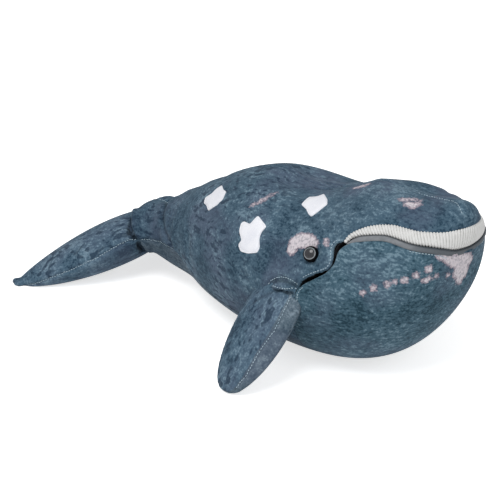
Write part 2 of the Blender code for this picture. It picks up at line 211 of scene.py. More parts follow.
def pressAlong(piece, line, depth, width, pucker=0.0, pitch=7 * mm, lift=0.0):
    places, normals = placesOf(piece)
    gap, at = distanceTo(np.array(line, float), places)
    near = gap < 5 * width
    wave = 1 + pucker * np.sin(2 * math.pi * at / pitch + 1.7 * np.sin(at / (pitch * 1.9)))
    amount = depth * hill(gap, width) * wave
    amount -= lift * hill(gap - 2.6 * width, 1.3 * width) * wave
    places[near] -= normals[near] * amount[near, None]
    setPlaces(piece, places)
    # painted shade: the colour is darkened at the bottom of a deep fold, where shade falls
    layer = piece.data.attributes.get("fold") or piece.data.attributes.new("fold", "FLOAT", "POINT")
    foldShadeAmount = np.empty(len(places))
    layer.data.foreach_get("value", foldShadeAmount)
    layer.data.foreach_set("value", np.maximum(foldShadeAmount, np.clip(amount / mm - 0.9, 0, 2) / 2))


stuffing = {"frames": 12, "cloth": {
    "quality": 4, "mass": 0.15, "tension_stiffness": 15, "compression_stiffness": 15,
    "shear_stiffness": 5, "use_pressure": True, "uniform_pressure_force": 3.0,
    "vertex_group_mass": "held"}}


def puff(piece, bending, cap, held):
    # The stuffing presses the cloth outwards; cap bounds how far it goes
    group = piece.vertex_groups.new(name="held")
    group.add([int(i) for i in held], 1, "REPLACE")
    before, _ = placesOf(piece)
    step = piece.modifiers.new("stuffing", "CLOTH")
    for key, value in stuffing["cloth"].items():
        setattr(step.settings, key, value)
    step.settings.bending_stiffness = bending
    step.settings.effector_weights.gravity = 0
    step.collision_settings.use_collision = False
    step.point_cache.frame_start, step.point_cache.frame_end = 1, stuffing["frames"]
    scene = bpy.context.scene
    for frameNumber in range(1, stuffing["frames"] + 1):
        scene.frame_set(frameNumber)
    after, _ = placesOf(piece.evaluated_get(bpy.context.evaluated_depsgraph_get()))
    piece.modifiers.remove(step)
    piece.vertex_groups.remove(group)
    scene.frame_set(1)
    move = after - before
    size = np.linalg.norm(move, axis=1)
    soft = cap * np.tanh(size / cap)
    setPlaces(piece, before + move * (soft / np.maximum(size, 1e-9))[:, None])


def treeOf(piece):
    bm = toBmesh(piece)
    tree = BVHTree.FromBMesh(bm)
    bm.free()
    return tree


def cutPlane(bm, point, normal, keepFront=True):
    bmesh.ops.bisect_plane(
        bm, geom=bm.verts[:] + bm.edges[:] + bm.faces[:], dist=1e-7, plane_co=point,
        plane_no=normal, clear_inner=keepFront, clear_outer=not keepFront)


def cutBelow(bm, line, turn, keepAbove=True):
    # Bends the line on the body's side flat, cuts there and bends it back
    spin = Matrix.Rotation(math.radians(turn), 3, "Y")
    flat = np.array([spin @ Vector((x, 0, z)) for x, z in np.array(line, float)])
    for vert in bm.verts:
        vert.co = spin @ vert.co
        vert.co.z -= float(np.interp(vert.co.x, flat[:, 0], flat[:, 2]))
    cutPlane(bm, (0, 0, 0), (0, 0, 1), keepAbove)
    for vert in bm.verts:
        vert.co.z += float(np.interp(vert.co.x, flat[:, 0], flat[:, 2]))
        vert.co = spin.inverted() @ vert.co


def refine(bm, lines, reach, cuts):
    middles = np.array([(edge.verts[0].co + edge.verts[1].co) / 2 for edge in bm.edges])
    near = np.zeros(len(middles), bool)
    for line in lines:
        near |= distanceTo(line, middles)[0] < reach
    edges = [edge for edge, chosen in zip(bm.edges, near) if chosen]
    bmesh.ops.subdivide_edges(bm, edges=edges, cuts=cuts, use_grid_fill=True)


def rollEdge(bm, tree, radiusAt, depth, inner, steps=3, merged=0.4 * mm, passes=6):
    # Rolls the open edge inwards round a small radius, then down into the gap
    rim = {vert for edge in bm.edges if edge.is_boundary for vert in edge.verts}
    bmesh.ops.remove_doubles(bm, verts=list(rim), dist=merged)
    edges = [edge for edge in bm.edges if edge.is_boundary]
    ways = {}
    for edge in edges:
        out = (edge.verts[0].co + edge.verts[1].co) / 2 - edge.link_faces[0].calc_center_median()
        along = (edge.verts[1].co - edge.verts[0].co).normalized()
        out = (out - along * out.dot(along)).normalized()
        for vert in edge.verts:
            ways[vert] = ways.get(vert, Vector()) + out
    for _ in range(passes):
        softWays, softPlaces = {}, {}
        for vert, way in ways.items():
            near = [edge.other_vert(vert) for edge in vert.link_edges if edge.is_boundary]
            total = vert.co * 2 + sum((other.co for other in near), Vector())
            softWays[vert] = way + sum((ways[other] for other in near), Vector()) / 2
            softPlaces[vert] = total / (2 + len(near))
        ways = softWays
        for vert, place in softPlaces.items():
            vert.co = place
    frames = {}
    for vert, way in ways.items():
        normal = tree.find_nearest(vert.co)[1]
        way = (way - normal * way.dot(normal)).normalized()
        frames[vert] = (vert.co.copy(), way, normal, radiusAt(vert.co))
    turns = [math.pi / 2 * (i + 1) / steps for i in range(steps)]
    path = [(math.sin(turn), 1 - math.cos(turn), 0) for turn in turns]
    path += [(1, 1, depth * share) for share in (0.15, 0.5, 1)]
    for step, (outward, inward, below) in enumerate(path):
        made = bmesh.ops.extrude_edge_only(bm, edges=edges)["geom"]
        kinds = (bmesh.types.BMVert, bmesh.types.BMEdge, bmesh.types.BMFace)
        verts, edges, faces = ([item for item in made if isinstance(item, kind)] for kind in kinds)
        fresh = {}
        for vert in verts:
            for edge in vert.link_edges:
                old = edge.other_vert(vert)
                if old in frames and (old.co - vert.co).length < 1e-9:
                    fresh[vert] = frames[old]
        for vert, (base, way, normal, radius) in fresh.items():
            vert.co = base + way * outward * radius - normal * (inward * radius + below)
        for face in faces:
            face.material_index = inner if step > steps else 0
        frames = fresh


def swell(piece, centres, flips=(1, -1)):
    # Local rises and dips: x, y, z, reach and height in mm
    places, normals = placesOf(piece)
    for x, y, z, reach, height in centres:
        for flip in flips if y else (1,):
            rise = height * mm * hillAt(places, x, y * flip, z, reach)
            places += normals * rise[:, None]
    setPlaces(piece, places)


def restOnFloor(piece, lowest=0.2 * mm, soft=2.5 * mm):
    # The cloth flattens on the floor, and what would sink below it is squeezed, not cut
    places, _ = placesOf(piece)
    under = np.minimum(places[:, 2] - lowest - soft, 0)
    places[:, 2] += soft * np.exp(under / soft) - soft - under
    setPlaces(piece, places)


def thicken(piece, thick, least=1.0, soft=3 * mm):
    # Near the floor the shell is thinner, so that it stays inside the flattened form
    step = piece.modifiers.new("cloth", "SOLIDIFY")
    step.thickness = thick
    step.offset = -1
    if least < 1:
        places, _ = placesOf(piece)
        group = piece.vertex_groups.new(name="height")
        for i, high in enumerate(np.clip(places[:, 2] / soft, 0, 1)):
            group.add([i], float(high), "REPLACE")
        step.vertex_group = group.name
        step.thickness_vertex_group = least
    applyAll(piece)
    piece.vertex_groups.clear()


def keepValues(piece, name, values):
    values = np.array(values, float)
    kind, field = ("FLOAT_VECTOR", "vector") if values.ndim == 2 else ("FLOAT", "value")
    layer = piece.data.attributes.new(name, kind, "POINT")
    layer.data.foreach_set(field, values.ravel())


# Materials: addNode is the one way in which a node is made
def feed(tree, node, **links):
    for key, value in links.items():
        socket = node.inputs[int(key[1:]) if key[1:].isdigit() else key.replace("_", " ")]
        if isinstance(value, bpy.types.NodeSocket):
            tree.links.new(value, socket)
        else:
            socket.default_value = linear(value) if isinstance(value, str) else value


def addNode(tree, kind, out=None, settings=None, **links):
    node = tree.nodes.new("ShaderNode" + kind)
    for key, value in (settings or {}).items():
        setattr(node, key, value)
    feed(tree, node, **links)
    return node if out is None else node.outputs[out]


def newMaterial(name, **settings):
    made = bpy.data.materials.new(name)
    made.use_nodes = True
    tree = made.node_tree
    shader = partial(feed, tree, tree.nodes["Principled BSDF"])
    shader(**settings)
    return made, partial(addNode, tree), shader


mix, smooth = {"data_type": "RGBA"}, {"interpolation_type": "SMOOTHSTEP"}
plus, times, plusTimes, most, cosine = (
    {"operation": kind} for kind in ("ADD", "MULTIPLY", "MULTIPLY_ADD", "MAXIMUM", "COSINE"))

# Printed short-pile plush: polyester velboa, about 1.5 mm pile, printed before it was sewn.
# To the eye it is matt, with a faint pale bloom at grazing angles, and brushed flecks.
plush = {
    "roughness": 0.9, "sheen": 0.14, "bloom": "#b4c2cd", "cloud": 34 * mm, "fleck": 3.6 * mm,
    "tuft": 2.2 * mm, "pile": 1.4 * mm, "flow": 14 * mm, "flowSize": 34 * mm,
    "purple": "#565f74", "purpleSize": 62 * mm, "navy": "#1d2f42", "blotch": 5.2 * mm,
    # painted shade: the near-black blue at the end of the next line darkens deep folds
    "blotchFrom": 115 * mm, "blotchTo": 20 * mm, "foldShadeColour": "#101a24",
    "markPink": "#8f7f8a", "markPale": "#dad1d6", "markRagged": 4.4 * mm, "markGrain": 3.0 * mm,
    # how far a mark's edge fades, and how deep it grows paler
    "markEdge": 1.1 * mm, "paleFrom": -0.3 * mm, "paleTo": -3.6 * mm, "relief": 1.1 * mm,
}


def printedPlush(name, dark, middle, light, stretch, flecks, blotches, purple, marked=False,
                 clouds=0.9):
    made, add, shader = newMaterial(
        name, Roughness=plush["roughness"], Sheen_Weight=plush["sheen"], Sheen_Roughness=0.5,
        Sheen_Tint=plush["bloom"], Specular_IOR_Level=0.12)
    cloth = add("Attribute", "Vector", {"attribute_name": "cloth"})
    flow = add("TexNoise", "Color", Vector=cloth, Scale=1 / plush["flowSize"], Detail=1.0)
    bent = add("VectorMath", 0, plusTimes, i0=flow, i1=(plush["flow"],) * 3, i2=cloth)
    drawn = add("Mapping", "Vector", Vector=bent, Scale=stretch)
    cloud = add("TexNoise", "Fac", Vector=cloth, Scale=1 / plush["cloud"], Detail=3.0)
    fleck = add("TexNoise", "Fac", Vector=drawn, Scale=1 / plush["fleck"], Detail=2.5,
                Roughness=0.62)
    tuft = add("TexNoise", "Fac", Vector=cloth, Scale=1 / plush["tuft"], Detail=1.5)
    # each noise is about 0.5 on average, so tone is 0 on average
    tone = -0.3 - clouds / 2 - flecks / 2
    for noise, weight in ((tuft, 0.6), (cloud, clouds), (fleck, flecks)):
        tone = add("Math", 0, plusTimes, i0=noise, i1=weight, i2=tone)
    # painted light and shade: the area attribute raises or lowers the tone
    area = add("Attribute", "Fac", {"attribute_name": "area"})
    tone = add("Math", 0, plus, i0=tone, i1=area)
    low = add("MapRange", "Result", smooth, Value=tone, From_Min=-0.26, From_Max=0.04)
    high = add("MapRange", "Result", smooth, Value=tone, From_Min=0.02, From_Max=0.34)
    wide = add("TexNoise", "Fac", Vector=cloth, Scale=1 / plush["purpleSize"], Detail=2.0)
    wide = add("MapRange", "Result", smooth, Value=wide, From_Min=0.45, From_Max=0.66,
               To_Max=purple)
    colour = dark
    for share, tint in ((low, middle), (wide, plush["purple"]), (high, light)):
        colour = add("Mix", 2, mix, i0=share, i6=colour, i7=tint)
    if blotches:
        spot = add("TexNoise", "Fac", Vector=drawn, Scale=1 / plush["blotch"], Detail=1.5)
        spot = add("Math", 0, plusTimes, i0=cloud, i1=0.5, i2=spot)
        spot = add("MapRange", "Result", smooth, Value=spot, From_Min=0.82, From_Max=0.92,
                   To_Max=blotches)
        # the blotches fade out towards the head
        along = add("SeparateXYZ", 0, Vector=cloth)
        rear = add("MapRange", "Result", smooth, Value=along, From_Min=plush["blotchFrom"],
                   From_Max=plush["blotchTo"], To_Min=0.25)
        spot = add("Math", 0, times, i0=spot, i1=rear)
        colour = add("Mix", 2, mix, i0=spot, i6=colour, i7=plush["navy"])
    if marked:
        away = add("Attribute", "Fac", {"attribute_name": "mark"})
        ragged = add("TexNoise", "Fac", Vector=cloth, Scale=1 / plush["markGrain"], Detail=3.0,
                     Roughness=0.7)
        away = add("Math", 0, plus, i0=away, i1=-plush["markRagged"])
        edge = add("Math", 0, plusTimes, i0=ragged, i1=2 * plush["markRagged"], i2=away)
        shown = add("MapRange", "Result", smooth, Value=edge, From_Min=plush["markEdge"],
                    From_Max=-plush["markEdge"], To_Max=0.9)
        grain = add("MapRange", "Result", Value=tuft, From_Min=0.34, From_Max=0.56, To_Min=0.62)
        shown = add("Math", 0, times, i0=shown, i1=grain)
        depth = add("MapRange", "Result", smooth, Value=edge, From_Min=plush["paleFrom"],
                    From_Max=plush["paleTo"])
        pale = add("Math", 0, plusTimes, i0=tuft, i1=0.8, i2=depth)
        pale = add("MapRange", "Result", Value=pale, From_Min=0.3, From_Max=1.3)
        tint = add("Mix", 2, mix, i0=pale, i6=plush["markPink"], i7=plush["markPale"])
        colour = add("Mix", 2, mix, i0=shown, i6=colour, i7=tint)
    # painted shade: darker in the deep folds pressed into the cloth, where shade falls
    foldShadeAmount = add("Attribute", "Fac", {"attribute_name": "fold"})
    foldShadeAmount = add("Math", 0, times, i0=foldShadeAmount, i1=0.8)
    colour = add("Mix", 2, mix, i0=foldShadeAmount, i6=colour, i7=plush["foldShadeColour"])
    pile = add("TexNoise", "Fac", Vector=cloth, Scale=1 / plush["pile"], Detail=2.0)
    pile = add("Math", 0, plusTimes, i0=pile, i1=0.7, i2=fleck)
    shader(Base_Color=colour,
           Normal=add("Bump", "Normal", Strength=0.6, Distance=plush["relief"], Height=pile))
    return made


backPlush = printedPlush("printed_velboa_back", "#21394a", "#455d6e", "#6f8796",
                         (0.5, 0.9, 1), 0.85, 0.8, 0.5, True)
jawPlush = printedPlush("printed_velboa_jaw", "#1f3946", "#415d6c", "#6f8896",
                        (0.5, 0.75, 1.25), 1.15, 0.0, 0.3, True, 0.5)
limbPlush = printedPlush("printed_velboa_limbs", "#243a4c", "#4c6476", "#748b9b",
                         (0.8, 0.45, 0.8), 0.9, 0.75, 0.35)
greyPlush = printedPlush("grey_velboa_underside", "#384956", "#556571", "#788793",
                         (0.6, 0.8, 1), 0.9, 0.45, 0.35)


def wovenCloth(name, colour, shade, grain, roughness=0.9, depth=0.3):
    made, add, shader = newMaterial(name, Roughness=roughness, Specular_IOR_Level=0.2)
    place = add("TexCoord", "Object")
    fine = add("TexNoise", "Fac", Vector=place, Scale=1 / grain, Detail=3.0)
    wide = add("TexNoise", "Fac", Vector=place, Scale=1 / (14 * grain), Detail=2.0)
    both = add("Math", 0, plus, i0=fine, i1=wide)
    both = add("MapRange", "Result", Value=both, From_Min=0.75, From_Max=1.25)
    shader(Base_Color=add("Mix", 2, mix, i0=both, i6=shade, i7=colour),
           Normal=add("Bump", "Normal", Strength=depth, Distance=0.5 * mm, Height=fine))
    return made


# Black polyester lining: plain weave, so it swallows the light in the gap of the mouth
blackLining = wovenCloth("woven_black_lining", "#0d0e12", "#050507", 1.0 * mm)
# White short-pile cloth: the pale patches, matt with a soft grain
whitePlush = wovenCloth("white_velboa_patch", "#f0f1f6", "#e2e4ec", 1.2 * mm)
# Polyester sewing thread: thin and slightly shiny, so it draws a pale dotted line
paleThread = wovenCloth("twisted_pale_thread", "#b7c9d4", "#9ab0be", 0.8 * mm, 0.6)
# Nylon washer behind each eye: moulded, milky and slightly rough
washerNylon = wovenCloth("moulded_nylon_washer", "#d4d4ce", "#c6c6c0", 2.0 * mm, 0.45, 0.05)


def ribbedKnit():
    # Rib-knit cotton jersey: round off-white ribs, with painted shade darkening each valley between
    # them
    made, add, shader = newMaterial("rib_knit_off_white", Roughness=0.88,
                                    Specular_IOR_Level=0.15, Sheen_Weight=0.1)
    along = add("Attribute", "Fac", {"attribute_name": "along"})
    turn = add("Math", 0, times, i0=along, i1=2 * math.pi / band["ribPitch"])
    valley = add("Math", 0, cosine, i0=turn)
    place = add("TexCoord", "Object")
    stain = add("TexNoise", "Fac", Vector=place, Scale=1 / (5 * mm), Detail=3.0)
    loops = add("TexNoise", "Fac", Vector=place, Scale=1 / (0.9 * mm), Detail=2.0)
    # painted shade: strongest in each rib's valley, with a noise stain mixed in
    shade = add("Math", 0, plusTimes, i0=stain, i1=1.6, i2=valley)
    shade = add("MapRange", "Result", smooth, Value=shade, From_Min=1.15, From_Max=2.05,
                To_Max=0.7)
    base = add("Mix", 2, mix, i0=loops, i6="#cbcbca", i7="#dcdcdb")
    shader(Base_Color=add("Mix", 2, mix, i0=shade, i6=base, i7="#9b9b97"),
           Normal=add("Bump", "Normal", Strength=0.3, Distance=0.4 * mm, Height=loops))
    return made


def bindingTape():
    # Grosgrain tape folded over the lip: grey-brown and darker at the front, with painted shade
    # darkening it along its top fold under the band
    made, add, shader = newMaterial("folded_grosgrain_tape", Roughness=0.75,
                                    Specular_IOR_Level=0.25)
    across = add("Attribute", "Fac", {"attribute_name": "across"})
    front = add("Attribute", "Fac", {"attribute_name": "front"})
    place = add("TexCoord", "Object")
    wear = add("TexNoise", "Fac", Vector=place, Scale=1 / (4 * mm), Detail=3.0)
    dark = add("MapRange", "Result", smooth, Value=front, To_Max=0.8)
    # painted shade: near-black along the top fold, under the band's edge
    fold = add("MapRange", "Result", smooth, Value=across, From_Min=0.35, From_Max=0.75,
               To_Max=0.85)
    tint = "#62666b"
    for share, other in ((wear, "#8b8e92"), (dark, "#4a5157"), (fold, "#2b3036")):
        tint = add("Mix", 2, mix, i0=share, i6=tint, i7=other)
    shader(Base_Color=tint,
           Normal=add("Bump", "Normal", Strength=0.3, Distance=0.4 * mm, Height=wear))
    return made


def eyeMaterial():
    # Safety eye in moulded ABS: a brown-black middle, a thin grey ring and a matt black rim
    made, add, shader = newMaterial("moulded_abs_eye", Roughness=0.12)
    ring = add("Attribute", "Fac", {"attribute_name": "ring"})
    place = add("TexCoord", "Object")
    grain = add("TexNoise", "Fac", Vector=place, Scale=1 / (1.6 * mm), Detail=3.0)
    enter = add("MapRange", "Result", smooth, Value=ring, From_Min=0.62, From_Max=0.67)
    leave = add("MapRange", "Result", smooth, Value=ring, From_Min=0.72, From_Max=0.77)
    tint = "#0d0e11"
    for share, other in ((grain, "#303136"), (enter, "#7c8286"), (leave, "#08090b")):
        tint = add("Mix", 2, mix, i0=share, i6=tint, i7=other)
    shine = add("MapRange", "Result", Value=leave, To_Min=0.45, To_Max=0.02)
    shader(Base_Color=tint, Specular_IOR_Level=shine)
    return made


def seenDirectly(add):
    # 1 for what the camera sees straight, in a shine or through glass, and 0 for other light
    path = add("LightPath").outputs
    seen = path["Is Camera Ray"]
    for name in ("Is Glossy Ray", "Is Transmission Ray"):
        seen = add("Math", 0, most, i0=seen, i1=path[name])
    return seen


def paperFloor():
    # Matt white paper: the camera sees it white, and it keeps the toy's soft shadow
    made, add, shader = newMaterial("matt_white_paper", Roughness=0.95, Specular_IOR_Level=0.0,
                                    Base_Color="#fafafa")
    shader(Emission_Strength=add("Math", 0, times, i0=seenDirectly(add), i1=stage["floorGlow"]))
    return made


# Where the print leaves its pale pink marks: chains of x, y, z and reach in mm
backMarks = (
    ((119.5, -87, 131.5, 5.4), (118.6, -84.9, 134, 7.6), (119, -81.8, 138.1, 8.6),
     (123, -79.8, 140.7, 9.2), (129.4, -79.3, 142.2, 9), (136.6, -79.4, 143.2, 7.2),
     (142.9, -80, 143.2, 4.8)),
    ((154.2, -77.3, 148.8, 3), (157.7, -79.3, 146.3, 2.8)),
    ((39.9, -63, 150, 2.2), (45, -59.6, 153.7, 2.8), (50.3, -55, 157.6, 3),
     (53.9, -48.7, 161.7, 2.8), (56.8, -43, 164.7, 2.2)))
rightMarks = (
    ((200.5, -26, 189.8, 2.8), (205.8, -22.2, 190.7, 4), (210.9, -18.1, 191.4, 3.8),
     (216.6, -14.8, 191.5, 3)),
    ((210.8, -27.3, 188.3, 4.2), (216.3, -26.7, 187.8, 5), (219.6, -22.1, 189, 4)),
    ((134.4, -14.7, 180.8, 2.6), (140.3, -13.5, 183, 3.8), (146.7, -12.1, 185.3, 3.6),
     (151.2, -10, 186.9, 2.4)))
# given on the right side and mirrored
leftMarks = (((213.8, -3.6, 193.6, 2.6), (219.5, -5.5, 192.8, 2.8)),)
jawMarks = (
    ((256, -35, 150, 3.5), (259.5, -27.4, 147.9, 6), (261, -21.2, 144.6, 7.5),
     (262, -11.6, 139.1, 8.5), (262.4, -1.1, 137.1, 9.5), (261.5, 9.6, 132.7, 6.5)),
    ((261.2, -5.4, 128.3, 10.5), (259.6, 5.1, 120.6, 9), (259, -1.1, 116.8, 7.4),
     (256.9, 3.9, 109.5, 3.6)),
    ((260.2, -11.8, 125.5, 3.6),), ((204.2, -79.8, 110.9, 3.2),), ((212.9, -75, 117.3, 3.7),),
    ((223.8, -68.3, 122, 3.7),), ((229.6, -64.2, 125.2, 2.8),), ((236.4, -58.9, 127.4, 3.8),),
    ((244.1, -51.8, 132, 3.9),), ((251.7, -42.9, 137.8, 4.4),),
    ((251.2, -42.2, 127.9, 3.7), (248.3, -46, 125.9, 2.8)), ((255.3, -35.3, 129.9, 2.8),),
    ((259.1, -21.8, 127.5, 3.2),))


def markAway(places, chains, flip, far=20 * mm):
    away = np.full(len(places), far)
    for chain in chains:
        for x, y, z, reach in evenly(chain, 3 * len(chain)) * mm:
            away = np.minimum(away, np.linalg.norm(places - (x, y * flip, z), axis=1) - reach)
    return away


# The body's skin, stuffed in one piece and cut into its panels afterwards
body = {
    "length": 456 * mm, "height": 194 * mm, "halfWidth": 103 * mm, "snout": 266.3 * mm,
    "sides": 16, "fullness": 0.985, "levels": 3,
    # place along, top, bottom, widest level, half width
    "rows": (
        (0.0000, 0.3675, 0.251, 0.31, 0.130), (0.0235, 0.437, 0.162, 0.30, 0.270),
        (0.0614, 0.461, 0.132, 0.30, 0.345), (0.180, 0.600, 0.060, 0.33, 0.460),
        (0.320, 0.805, 0.020, 0.38, 0.700), (0.475, 0.958, -0.024, 0.40, 0.945),
        (0.620, 0.886, -0.026, 0.43, 1.020), (0.715, 0.938, -0.018, 0.46, 1.020),
        (0.800, 1.024, 0.025, 0.50, 0.940), (0.880, 1.022, 0.150, 0.57, 0.785),
        (0.955, 0.985, 0.400, 0.68, 0.540), (0.995, 0.940, 0.640, 0.78, 0.260)),
    "bending": 0.6, "cap": 3.0 * mm, "held": -175 * mm, "seamHeld": 3.2 * mm,
    # local rises and dips: x, y, z, reach and height in mm
    "swells": ((140, 0, 179, 34, 3.2), (80, 0, 171, 28, -3.4), (254, -8, 181, 17, 5.5),
               (154, 4, 184, 13, 1.6), (-60, 0, 122, 36, 2.4), (-60, -12, 143, 14, -2),
               (-88, -47, 38, 32, -4.5), (46, 17, 173, 16, -4.6), (66, 26, 169, 16, -3),
               (85, 29, 167, 14, -2.4), (62, 0, 173, 30, -4.3), (102, 0, 172, 18, -1.8),
               (-157, 0, 95, 12, -4), (-158, 0, 92, 9, -4), (-116, 0, 112, 14, 2),
               (-102, -42, 38, 18, -5.5), (206, 0, 193, 24, -4), (258, 0, 116, 26, -3),
               (-163, -33, 56, 18, 9.5), (-178, -27, 62, 15, 11), (-165, 0, 80, 18, 2),
               (-175, -17, 83, 13, 3.5)),
    "leftDips": ((185, 10, 193, 13, -3), (204, 17, 192, 14, -4.5), (221, 19, 190, 12, -2.2),
                 (258, 25, 124, 16, -3)),
    "openRoll": 1.8 * mm, "sewnRoll": 0.8 * mm, "sewnBelow": 100 * mm, "sewnFade": 6 * mm,
    "wall": 6.5 * mm, "thick": 1.6 * mm, "stockStart": -107.62 * mm,
}
# Lines on the side of the body, in mm: x and z
cheekLine = metres((
    (103.3, -60), (116.3, 0), (127.1, 50), (138.2, 101.5), (139.3, 106.6), (144.5, 112.1),
    (152.1, 117.6), (159.4, 121.5), (164.4, 124.3), (166.9, 125.9), (168.5, 128.4), (169.9, 131.8),
    (169.6, 135.8), (167.9, 140.1), (165.9, 144.5), (165.3, 147.5), (166.6, 149.6), (170.0, 151.0)))
jawLine = metres((
    (103.7, -60), (116.7, 0), (127.5, 50), (139.0, 101.5), (145.4, 107.8), (153, 112.9),
    (160, 118.1), (165.6, 121.8), (167.6, 124.6), (169.9, 127.9), (172.0, 132.6), (172.4, 136.4),
    (171.9, 140.4), (172.0, 143.6), (173.0, 146.4), (175.2, 148.8), (178.5, 151.4)))
bandTopLine = metres((
    (174.2, 152.6), (175.0, 155.9), (177.4, 159.6), (182.3, 163.9), (188.4, 167.6), (195.6, 170.5),
    (204.5, 172.6), (214.5, 173.6), (225.9, 172.5), (235.4, 171.3), (244.8, 171.5), (254.6, 171.6),
    (260, 172.6), (266, 173.6), (300, 175)))
lipLine = metres((
    (176.6, 151.9), (180.2, 156.9), (188.1, 160.5), (200.2, 163.2), (210.3, 164.8), (219.7, 163.9),
    (227.5, 162.5), (234.8, 160.8), (242.4, 159.9), (250.4, 159.1), (257.4, 157.0), (261.3, 153.0),
    (264, 150.5), (300, 148)))
bindLine = metres((
    (178.6, 151.4), (183.2, 155.2), (191, 158.5), (202.6, 161.1), (212.2, 162.4), (221.4, 161.2),
    (229.6, 159.2), (237.2, 157.7), (244.4, 156.7), (252.2, 155.6), (258.4, 153.4), (261.7, 149.6),
    (264, 147.4), (300, 145)))
bellyLine = metres(((-235, 58), (-162, 53), (-132, 57), (-98, 58), (-60, 47), (-7, 37), (175, 35),
                    (300, 35)))
mouth = {"turn": 45, "reach": 4.5 * mm, "cuts": 2, "step": 1.5 * mm, "tuck": 0.6 * mm,
         # the front is followed round this centre from here on
         "centre": 205 * mm, "frontFrom": 236 * mm, "frontSteps": 60,
         "frontStep": 2 * mm}
# where the stock's end lies over the root of the flukes: x, y and z in mm
stockCrease = np.array((
    (-186, -21, 69), (-182.8, -25.9, 69), (-178, -34, 67.5), (-173.4, -41.7, 65),
    (-167.1, -48.2, 60.5), (-163.2, -46.3, 57), (-159.5, -45.6, 51), (-157.8, -42.7, 43.8),
    (-161, -34, 35)))


def rollAt(place):
    share = min(max((place.z - body["sewnBelow"]) / body["sewnFade"], 0), 1)
    return body["sewnRoll"] + share * (body["openRoll"] - body["sewnRoll"])


def rollAlong(line):
    return [rollAt(Vector((x, 0, z))) for x, z in line]


cheekLine, jawLine = (resampled(line, mouth["step"]) for line in (cheekLine, jawLine))
cheekEdge = offsetLine(cheekLine, rollAlong(cheekLine))
trunkEdge, jawEdge = (
    rounded(np.concatenate((side, front[1:])), mouth["step"], 2) for side, front in (
        (cheekEdge, offsetLine(bandTopLine, mouth["tuck"])),
        (offsetLine(jawLine, [-roll for roll in rollAlong(jawLine)]),
         offsetLine(bindLine, -mouth["tuck"]))))


def bodyRing(share, top, bottom, widest, width):
    x = body["snout"] + (share - 1) * body["length"]
    ring = []
    for i in range(body["sides"]):
        turn = 2 * math.pi * i / body["sides"]
        end = top if math.sin(turn) > 0 else bottom
        level = widest + abs(math.sin(turn)) * (end - widest) * body["fullness"]
        out = width * math.cos(turn) * body["fullness"]
        ring.append((x, out * body["halfWidth"], level * body["height"]))
    return ring


bodySkin = toPiece("body_form", loft([bodyRing(*row) for row in body["rows"]]))
subdivide(bodySkin, body["levels"])
bodyTree = treeOf(bodySkin)


def onSide(x, z, side=-1):
    place, normal, _, _ = bodyTree.ray_cast(Vector((x, 0, z)), Vector((0, side, 0)))
    return place, normal


def onBack(x, y):
    return bodyTree.ray_cast(Vector((x, y, 2 * body["height"])), Vector((0, 0, -1)))[0]


def sideCurve(line, side=-1, low=-1.0, high=1.0):
    cast = [onSide(x, z, side)[0] for x, z in line if low <= x <= high]
    return np.array([tuple(place) for place in cast if place is not None])


def snapped(points):
    cast = [bodyTree.find_nearest(Vector(point))[:2] for point in points]
    return np.array([tuple(p) for p, _ in cast]), np.array([tuple(n) for _, n in cast])


places, _ = placesOf(bodySkin)
held = places[:, 0] < body["held"]
for side in (-1, 1):
    for line in (trunkEdge, jawEdge):
        held |= distanceTo(sideCurve(line[::3], side), places)[0] < body["seamHeld"]
puff(bodySkin, body["bending"], body["cap"], np.nonzero(held)[0])
subdivide(bodySkin, 1)
swell(bodySkin, body["swells"])
swell(bodySkin, body["leftDips"], (1,))
bodyTree = treeOf(bodySkin)
print("body stuffed:", len(bodySkin.data.polygons), "faces")

# Seams and folds are pressed in after the stuffing; the right side's folds are mirrored
snoutSeam = metres(((-190, 0), (180, 0), (206, 1.5), (222, 1), (232, 0.5), (242, -1), (250, -4),
                    (255, -6.5), (258.5, -8.5), (260, -9)))
press = {   # depth and width, then pucker, its pitch and the rise beside the line
    "backSeam": (0.9 * mm, 1.6 * mm, 0.3, 8 * mm, 0.3 * mm),
    "bellySeam": (1.3 * mm, 1.9 * mm, 0.35, 9 * mm, 0.4 * mm),
    "stockLip": (-3.4 * mm, 3.6 * mm), "stockGroove": (5 * mm, 2.6 * mm),
    "shoulderRidge": (-3.0 * mm, 2.6 * mm), "step": 3 * mm, "bellySpan": (-186 * mm, 112 * mm),
}
seamPlaces = [onBack(x, y) for x, y in resampled(snoutSeam, press["step"])]
backSeam = np.array([tuple(place) for place in seamPlaces if place])
bellySeams = {side: sideCurve(resampled(bellyLine, press["step"]), side, *press["bellySpan"])
              for side in (-1, 1)}
pressAlong(bodySkin, backSeam, *press["backSeam"])
for side in (-1, 1):
    pressAlong(bodySkin, bellySeams[side], *press["bellySeam"])
shoulderArc = ((94, -103, 82), (97.2, -102.4, 87), (100.4, -101.5, 92.2), (102.8, -99.8, 97.2),
               (107.9, -98.1, 101.9), (114.9, -97, 105.5), (122.7, -96.8, 106.6),
               (129.5, -97.1, 106.1), (136.4, -96.6, 104.4))
